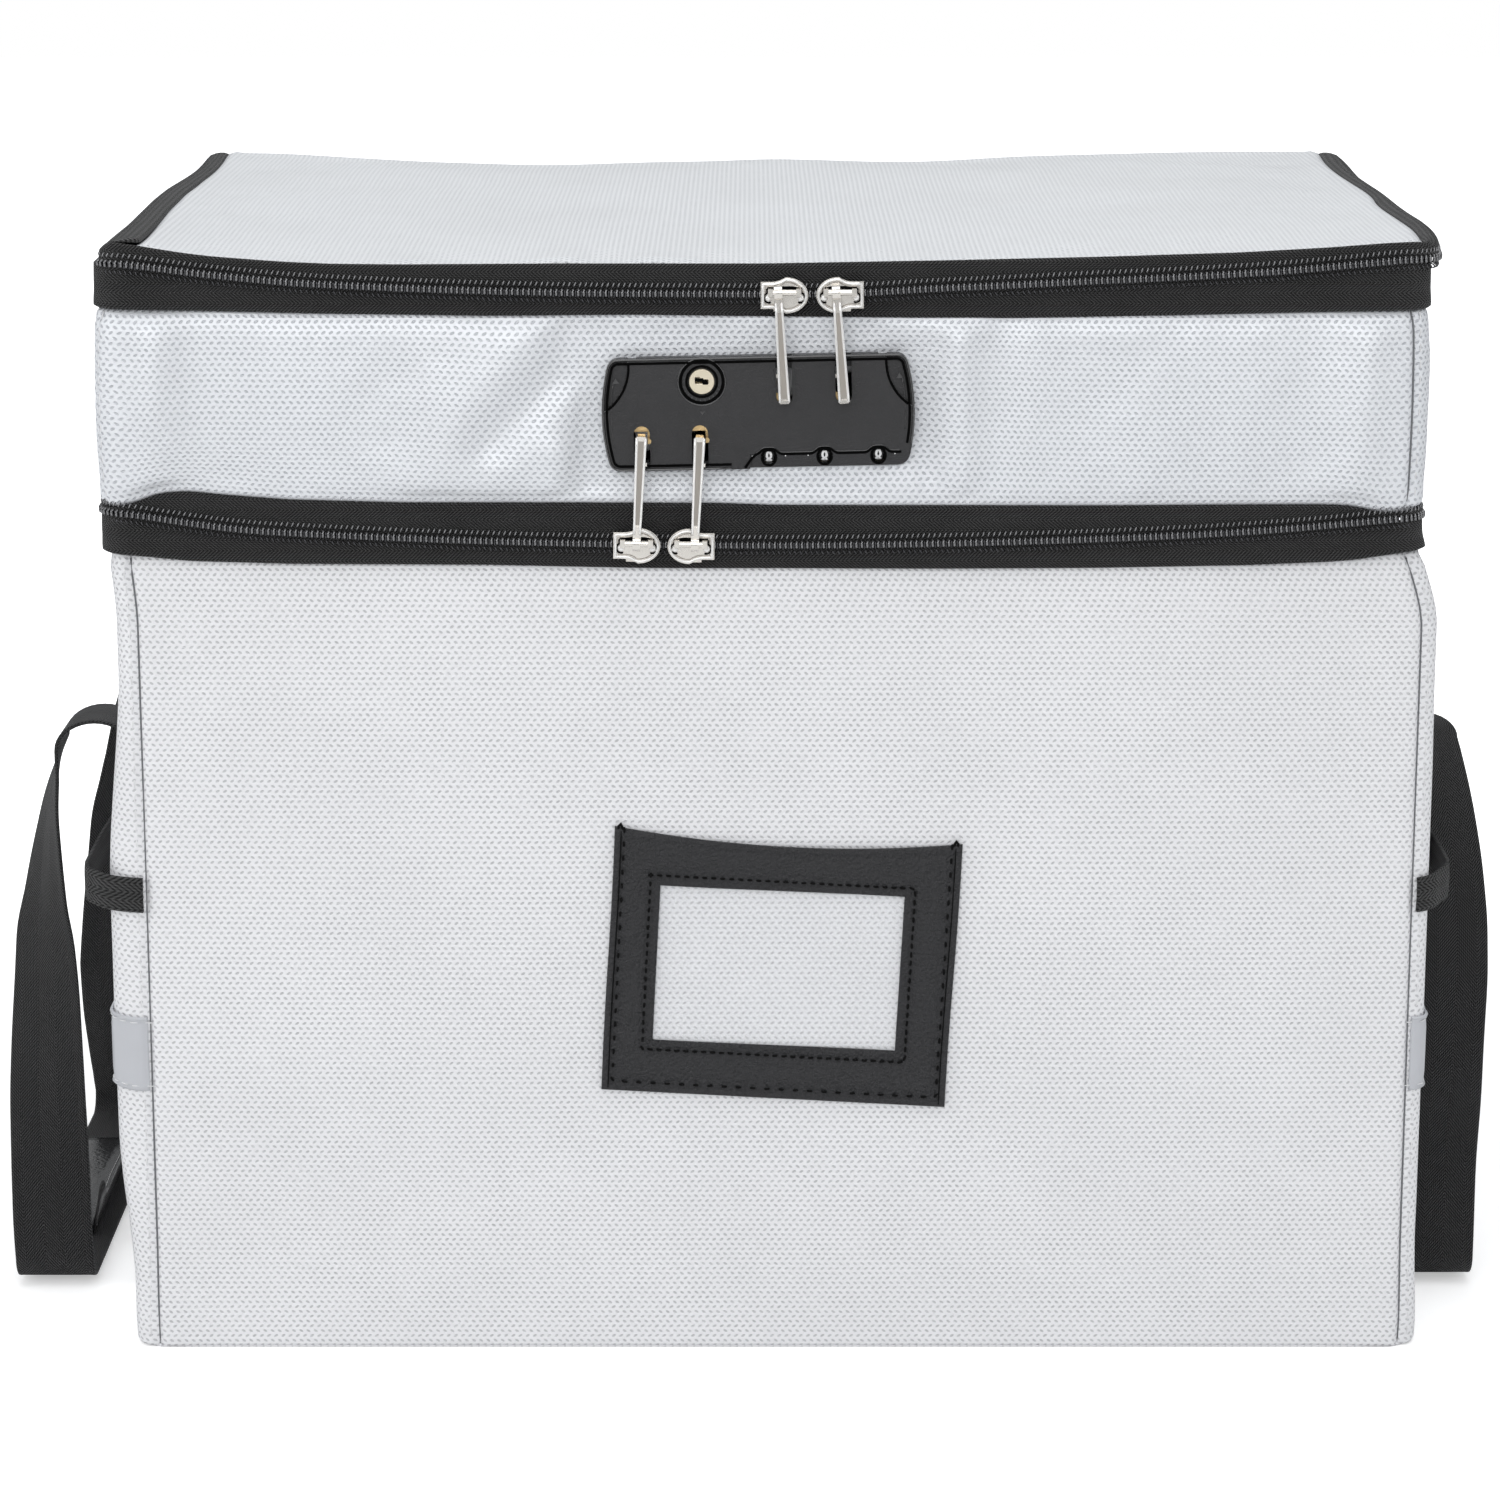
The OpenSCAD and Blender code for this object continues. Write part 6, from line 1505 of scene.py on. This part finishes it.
# ---------------------------------------------------------------- lock, sliders and pulls
print("stage: lock, sliders and pulls")
for node, name, material, slot, bodyName, bevel in (
    ("lock_case", "lockCase", lockPlastic, "lock_black", "tier", 0.28),
    ("lock_back_cover", "lockBackCover", steel, "steel", "tier", 0.25),
    ("lock_screws", "lockScrews", steel, "steel", "tier", 0.12),
    ("dial_shaft", "dialShaft", steel, "steel", "tier", 0.15),
    ("dial_left", "dialLeft", lockPlastic, "lock_black", "number_dial_left", 0.12),
    ("dial_middle", "dialMiddle", lockPlastic, "lock_black", "number_dial_middle", 0.12),
    ("dial_right", "dialRight", lockPlastic, "lock_black", "number_dial_right", 0.12),
    ("key_plug", "keyPlug", keyBrass, "brass", "key_cylinder", 0.2),
    ("left_button", "leftButton", lockPlastic, "lock_black", "left_release", 0.15),
    ("right_button", "rightButton", lockPlastic, "lock_black", "right_release", 0.15),
    ("left_hooks", "leftHooks", brass, "brass", "left_release", 0.1),
    ("right_hooks", "rightHooks", brass, "brass", "right_release", 0.1),
):
    cadCopy(name, node, material, bodyName, slot, bevel)
for place in ("upper_left", "upper_right", "lower_left", "lower_right"):
    tag = place.split("_")[0].capitalize() + place.split("_")[1].capitalize()
    cadCopy("slider" + tag, "slider_" + place, nickel, "zip_slider_" + place, "nickel", 0.22)
    cadCopy("pull" + tag, "pull_" + place, nickel, "zip_pull_" + place, "nickel", 0.3)

digits = {"height": 2.9, "shift": 0.75, "radius": 4.6, "axis": (-159.3, -12.4), "places": (3.2, 21.4, 39.0), "window": -15.2}


def lockPoint(u, y, w):
    a = math.radians(lock["tilt"])
    return (lock["centre"][0] + u * math.cos(a) - w * math.sin(a), y, lock["centre"][1] + u * math.sin(a) + w * math.cos(a))


def buildDigits():
    # ten plain numbers round each dial, with 0 in the window
    for place, u, dialNode in zip(("Left", "Middle", "Right"), digits["places"], ("dial_left", "dial_middle", "dial_right")):
        joined = bmesh.new()
        w0 = digits["window"] - digits["axis"][1]
        start = math.atan2(w0, -math.sqrt(digits["radius"] ** 2 - w0 ** 2))
        for k in range(10):
            text = bpy.data.curves.new("digit", "FONT")
            text.body, text.size, text.extrude, text.offset = str(k), digits["height"] * 1.38 * mm, 0.05 * mm, 0.2 * mm
            text.align_x, text.align_y = "CENTER", "CENTER"
            shown = addObject("digit", text)
            depsgraph = bpy.context.evaluated_depsgraph_get()
            mesh = bpy.data.meshes.new_from_object(shown.evaluated_get(depsgraph), depsgraph=depsgraph)
            bpy.data.objects.remove(shown)
            angle = start - k * 2 * math.pi / 10
            first = len(joined.verts)
            joined.from_mesh(mesh)
            joined.verts.ensure_lookup_table()
            for v in joined.verts[first:]:
                across, up, out = v.co.x / mm, v.co.y / mm, v.co.z / mm
                a = angle - (up + digits["shift"]) / digits["radius"]
                r = digits["radius"] + 0.03 + out
                y, w = digits["axis"][0] + r * math.cos(a), digits["axis"][1] + r * math.sin(a)
                v.co = Vector(lockPoint(u + across * 1.0, y, w)) * mm
        mesh = bpy.data.meshes.new("digits" + place)
        joined.to_mesh(mesh)
        joined.free()
        mesh.materials.clear()
        mesh.materials.append(digitPaint)
        piece = addObject("digits" + place, mesh)
        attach(piece, "number_dial_" + place.lower())


buildDigits()

face = {"depth": -165.0, "corner": 4, "bow": 63.18, "width": 51.15, "height": 18.6, "ring": (-18.2, 10.6, 7.7), "plug": 4.15, "slots": (8.6, 28, -38.2, -19.2), "slotWidth": 5.3, "slotTop": -3.7, "slotFoot": 2.5}


def faceOutline(inset):
    # the lock's outline: bowed ends, straight top and bottom and rounded corners
    rc, rb, h = face["corner"] - inset, face["bow"] - inset, face["height"] - inset
    cx, wc = face["width"] - face["bow"], face["height"] - face["corner"]
    uc = cx + math.sqrt((face["bow"] - face["corner"]) ** 2 - wc * wc)
    a0 = math.atan2(wc, uc - cx)
    quarter = [(cx + rb * math.cos(a), rb * math.sin(a)) for a in np.linspace(0, a0, 8)[:-1]]
    quarter += [(uc + rc * math.cos(a), wc + rc * math.sin(a)) for a in np.linspace(a0, math.pi / 2, 8)]
    quarter += [(uc * (1 - k / 10), h) for k in range(1, 10)]
    top = quarter + [(-u, w) for u, w in reversed(quarter)]
    return top + [(-u, -w) for u, w in top]


def buildLockTrim():
    y = face["depth"]

    def line(name, path, radius, material, closed=False, out=0.0):
        return bead(name, [lockPoint(u, y - out, w) for u, w in path], radius, material, "lock_black", "tier", closed)

    def openBelow(path):  # without the part under the dials, where the case is cut back
        k = [i for i, (u, w) in enumerate(path) if u > -5 and w < -11.5]
        return path[k[-1] + 1:] + path[:k[0]]

    line("lockRim", openBelow(faceOutline(0.5)), 0.42, lockGloss)
    # a dark cord inside the rim, painted as the shade of a groove
    line("lockRimLine", openBelow(faceOutline(1.75)), 0.42, keyDark, out=0.08)
    line("lockInnerLine", [p for p in faceOutline(3.1) if p[0] < -44 and -12 < p[1] < 12][::-1], 0.14, lockGloss, out=0.02)
    line("lockInnerLineRight", sorted([p for p in faceOutline(3.1) if p[0] > 44 and -8 < p[1] < 12], key=lambda p: p[1]), 0.14, lockGloss, out=0.02)
    ru, rw, rr = face["ring"]
    around = lambda r, n: [(ru + r * math.cos(2 * math.pi * k / n), rw + r * math.sin(2 * math.pi * k / n)) for k in range(n)]
    line("keyRing", around(rr, 48), 0.36, lockGloss, True)
    # dark rings round the key's ring, painted as shade in its grooves
    line("keyRingLine", around(rr - 0.75, 48), 0.5, keyDark, True, 0.1)
    line("keyRingInner", around(5.0, 36), 0.42, keyDark, True, 0.08)
    for side in (-1, 1):  # the dark line round each corner button, painted as the shade of its gap
        cu, cw, r = side * 59.55, 16.0, 17.6
        arc = [(cu - side * r * math.cos(a), cw - r * math.sin(a)) for a in np.linspace(-0.15, 1.15, 24)]
        arc = [q for q in arc if abs(q[0]) < 49.5 and q[1] < 17.2]
        line("buttonLine" + ("Left" if side < 0 else "Right"), arc, 0.4, keyDark, out=0.08)
    marks = [[(ru + r * math.cos(a) + e * math.sin(a), rw + r * math.sin(a) - e * math.cos(a)) for r, e in ((5.7, -0.14), (6.5, -0.14), (6.5, 0.14), (5.7, 0.14))] for a in np.radians(np.arange(195, 346, 14))]
    marks += [[(ru - 0.9, rw - 9.6), (ru, rw - 11.0), (ru + 0.9, rw - 9.6), (ru, rw - 10.1)]]
    marks += [[(side * 46.2 - 1.1, 10.4), (side * 46.2 + 1.1, 10.4), (side * 46.2, 12.3)] for side in (-1, 1)]
    shapedPlate("lockMarks", marks, lockPoint, y - 0.12, y + 0.1, lockGloss, "lock_black", "tier")
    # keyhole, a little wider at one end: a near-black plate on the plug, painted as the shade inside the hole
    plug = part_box("key_plug")[0][1] / mm
    hole = [(-2.2, 1.15), (0.5, 1.15), (0.6, 0.65), (1.5, 0.55), (2.2, -0.6), (1.9, -1.0), (0.3, -1.0), (0.05, 0.0), (-1.2, 0.0), (-2.2, 0.3)]
    shapedPlate("keyhole", [[(ru + u, rw + w) for u, w in hole]], lockPoint, plug - 0.06, plug + 0.2, keyDark, "lock_black", "key_cylinder")
    # the slots end in half circles
    corners, r = [], face["slotWidth"] / 2
    for k, u in enumerate(face["slots"]):
        way, edge = (1, face["slotFoot"]) if k < 2 else (-1, face["slotTop"])
        for side in (-1, 1):
            corners.append([(u + side * (r + 0.05), edge - way * 0.05)] + [(u + side * r * math.sin(a), edge + way * (r - r * math.cos(a))) for a in np.linspace(0, math.pi / 2, 7)])
    shapedPlate("slotEnds", corners, lockPoint, y - 0.02, y + 1.3, lockPlastic, "lock_black", "tier")
    shapedPlate("slotNubs", [[(u + 1.9, -9.6), (u + 2.9, -9.4), (u + 3.1, -8.4), (u + 2.4, -7.6), (u + 1.9, -8.0)] for u in face["slots"][2:]], lockPoint, y - 0.15, y + 0.5, brass, "brass", "tier")
    # the step over the dials rises round each window; its dark cord is painted shade under the step, with a glossy lip
    # above
    step = [(-4.6, -18.0), (-2.6, -15.2), (-1.2, -13.9)]
    for u in np.linspace(-0.5, 46.5, 72):
        bump = sum(math.exp(-((u - d) / 3.1) ** 4) for d in digits["places"])
        step.append((u, -13.75 + 1.75 * bump))
    line("dialStep", step, 0.45, keyDark, out=0.1)
    line("dialStepLip", [(u, w + 0.55) for u, w in step[2:]], 0.2, lockGloss, out=0.02)
    for place, u in zip(("Left", "Middle", "Right"), digits["places"]):
        w = digits["window"]
        # a dark ring round each window, painted as the shade at its edge
        ring = [(u + 2.3 * math.cos(a), w + 0.35 + 2.6 * math.sin(a)) for a in np.linspace(0, 2 * math.pi, 24, endpoint=False)]
        line("window" + place, ring, 0.42, keyDark, True, 0.08)
    dots = [[(u + side * 5.4 + 0.22 * math.cos(a), digits["window"] + 0.9 + 0.22 * math.sin(a)) for a in np.linspace(0, 2 * math.pi, 8, endpoint=False)] for u in digits["places"] for side in ((-1, 1) if u < 10 else (1,) if u > 30 else (-1,))]
    shapedPlate("windowDots", dots, lockPoint, y - 0.1, y + 0.2, digitPaint, "lock_black", "tier")


buildLockTrim()
slider = {"x": (3.5, 21.5, -44.9, -27.1), "nose": (1, -1, 1, -1), "length": 15.4, "width": 11.8, "tail": 8.8, "face": -164.85, "bar": -167.55, "barUp": 1.2,
          "eye": (-2.1, -1.3, 0, 1.3), "pull": 36, "lift": 2.92, "blade": 2.0, "tip": 3.8, "neck": 2.6}
places = ("upper_left", "upper_right", "lower_left", "lower_right")


def sliderFrame(k):
    # where slider number k stands, and the way its chain runs there
    z = zips["upper" if k < 2 else "lower"]
    a = -math.asin(slider["x"][k] / z["radius"])

    def at(u, y, w):
        return (u * math.cos(a) + (w - z["radius"]) * math.sin(a), y, z["middle"] + z["radius"] - u * math.sin(a) + (w - z["radius"]) * math.cos(a))
    return at


def shieldOutline(shrink):
    l, w, tail = slider["length"] - 2 * shrink, slider["width"] - 2 * shrink, slider["tail"] - 2 * shrink
    half = [(-l / 2, 0), (-l / 2, tail / 4), (-l / 2, tail / 2), (-l * 0.39, tail / 2)] + [(-l * 0.28 + l * 0.31 * t, tail / 2 + (w - tail) / 2 * t * t) for t in (0, 0.25, 0.5, 0.75, 1)]
    half += [(l * 0.03 + l * 0.47 * math.sin(math.pi / 2 * t), w / 2 * math.cos(math.pi / 2 * t)) for t in np.linspace(0.125, 1, 8)]
    return half + [(u, -w) for u, w in half[-2:0:-1]]


def buildSliderTrim(k):
    nose, y, tag = slider["nose"][k], slider["face"], "".join(part.capitalize() for part in places[k].split("_"))
    stand = sliderFrame(k)
    at = lambda u, y, w: stand(nose * u, y, w)
    rides = "zip_slider_" + places[k]
    # painted highlight on a rim bead round the shield, and a painted shade line inside it
    bead("sliderRim" + tag, [at(u, y, w) for u, w in shieldOutline(0.75)], 0.5, nickelBright, "nickel", rides, True)
    bead("sliderRimShade" + tag, [at(u, y - 0.02, w) for u, w in shieldOutline(1.55)], 0.17, nickelShade, "nickel", rides, True, 6)
    # a near-black plate above the bar, painted as the shade in the gap behind it
    gap = [(-5.9, 1.0), (-5.6, 0.6), (5.3, 0.6), (5.9, 1.2), (5.7, 2.5), (2.4, 3.0), (-2.2, 3.0), (-5.5, 2.7), (-6.0, 2.0)]
    shapedPlate("sliderGap" + tag, [gap], at, y - 0.16, y + 0.1, keyDark, "nickel", rides)
    for side in (-1, 1):
        centre = np.array([side * 5.1, -0.75])
        # dark arcs beside each boss, painted shade
        arc = [centre + 1.6 * np.array([side * math.cos(a), math.sin(a)]) for a in np.linspace(-2.0, 1.3, 10)]
        bead("sliderArc" + tag + ("A" if side < 0 else "B"), [at(u, y - 0.12, w) for u, w in arc], 0.3, keyDark, "nickel", rides, False, 6)
        # each boss is a dome in the painted highlight nickel
        dome = [at(centre[0], y + 0.3 - d, centre[1]) for d in (0, 0.5, 0.9, 1.15, 1.25)]
        bead("sliderBoss" + tag + ("A" if side < 0 else "B"), dome, [1.25, 1.2, 0.95, 0.55, 0.12], nickelBright, "nickel", rides, False, 12)


def buildPullTrim(k):
    way, tag = (-1 if k < 2 else 1), "".join(part.capitalize() for part in places[k].split("_"))
    eye = np.array(sliderFrame(k)(slider["eye"][k], slider["bar"], slider["barUp"]))
    lift = math.radians(way * slider["lift"])
    tilt = math.radians(lock["tilt"])
    end = eye[2] + way * slider["pull"]
    w = (end - lock["centre"][1] - face["slots"][k] * math.sin(tilt)) / math.cos(tilt)
    aim = lock["centre"][0] + face["slots"][k] * math.cos(tilt) - w * math.sin(tilt)
    lean = way * math.asin((aim - eye[0]) / slider["pull"]) + (math.pi if way > 0 else 0)
    turn = Matrix.Rotation(lift, 3, "X") @ Matrix.Rotation(lean, 3, "Y")
    at = lambda u, y, w: tuple(eye + np.array(turn @ Vector((u, y, w))))
    rides = "zip_pull_" + places[k]
    half = lambda run: slider["neck"] / 2 + (slider["tip"] - slider["neck"]) / 2 * run / slider["pull"]
    front = -slider["blade"] / 2
    # painted highlights along the pull's edges, and painted shade on the floor of its groove
    for side in (-1, 1):
        edge = [(side * (half(run) - 0.42), front - 0.02, -run) for run in np.linspace(3.2, slider["pull"] - 0.6, 12)]
        bead("pullEdge" + tag + ("A" if side < 0 else "B"), [at(*q) for q in edge], 0.42, nickelBright, "nickel", rides)
    groove = [(-0.5 * half(6.5), -6.5), (0.5 * half(6.5), -6.5), (0.5 * half(34), 1.6 - slider["pull"]), (-0.5 * half(34), 1.6 - slider["pull"])]
    shapedPlate("pullGroove" + tag, [groove], at, front + 0.3, front + 0.5, nickelShade, "nickel", rides)


for k in range(4):
    buildSliderTrim(k)
    buildPullTrim(k)

# ---------------------------------------------------------------- end
print("stage: done")
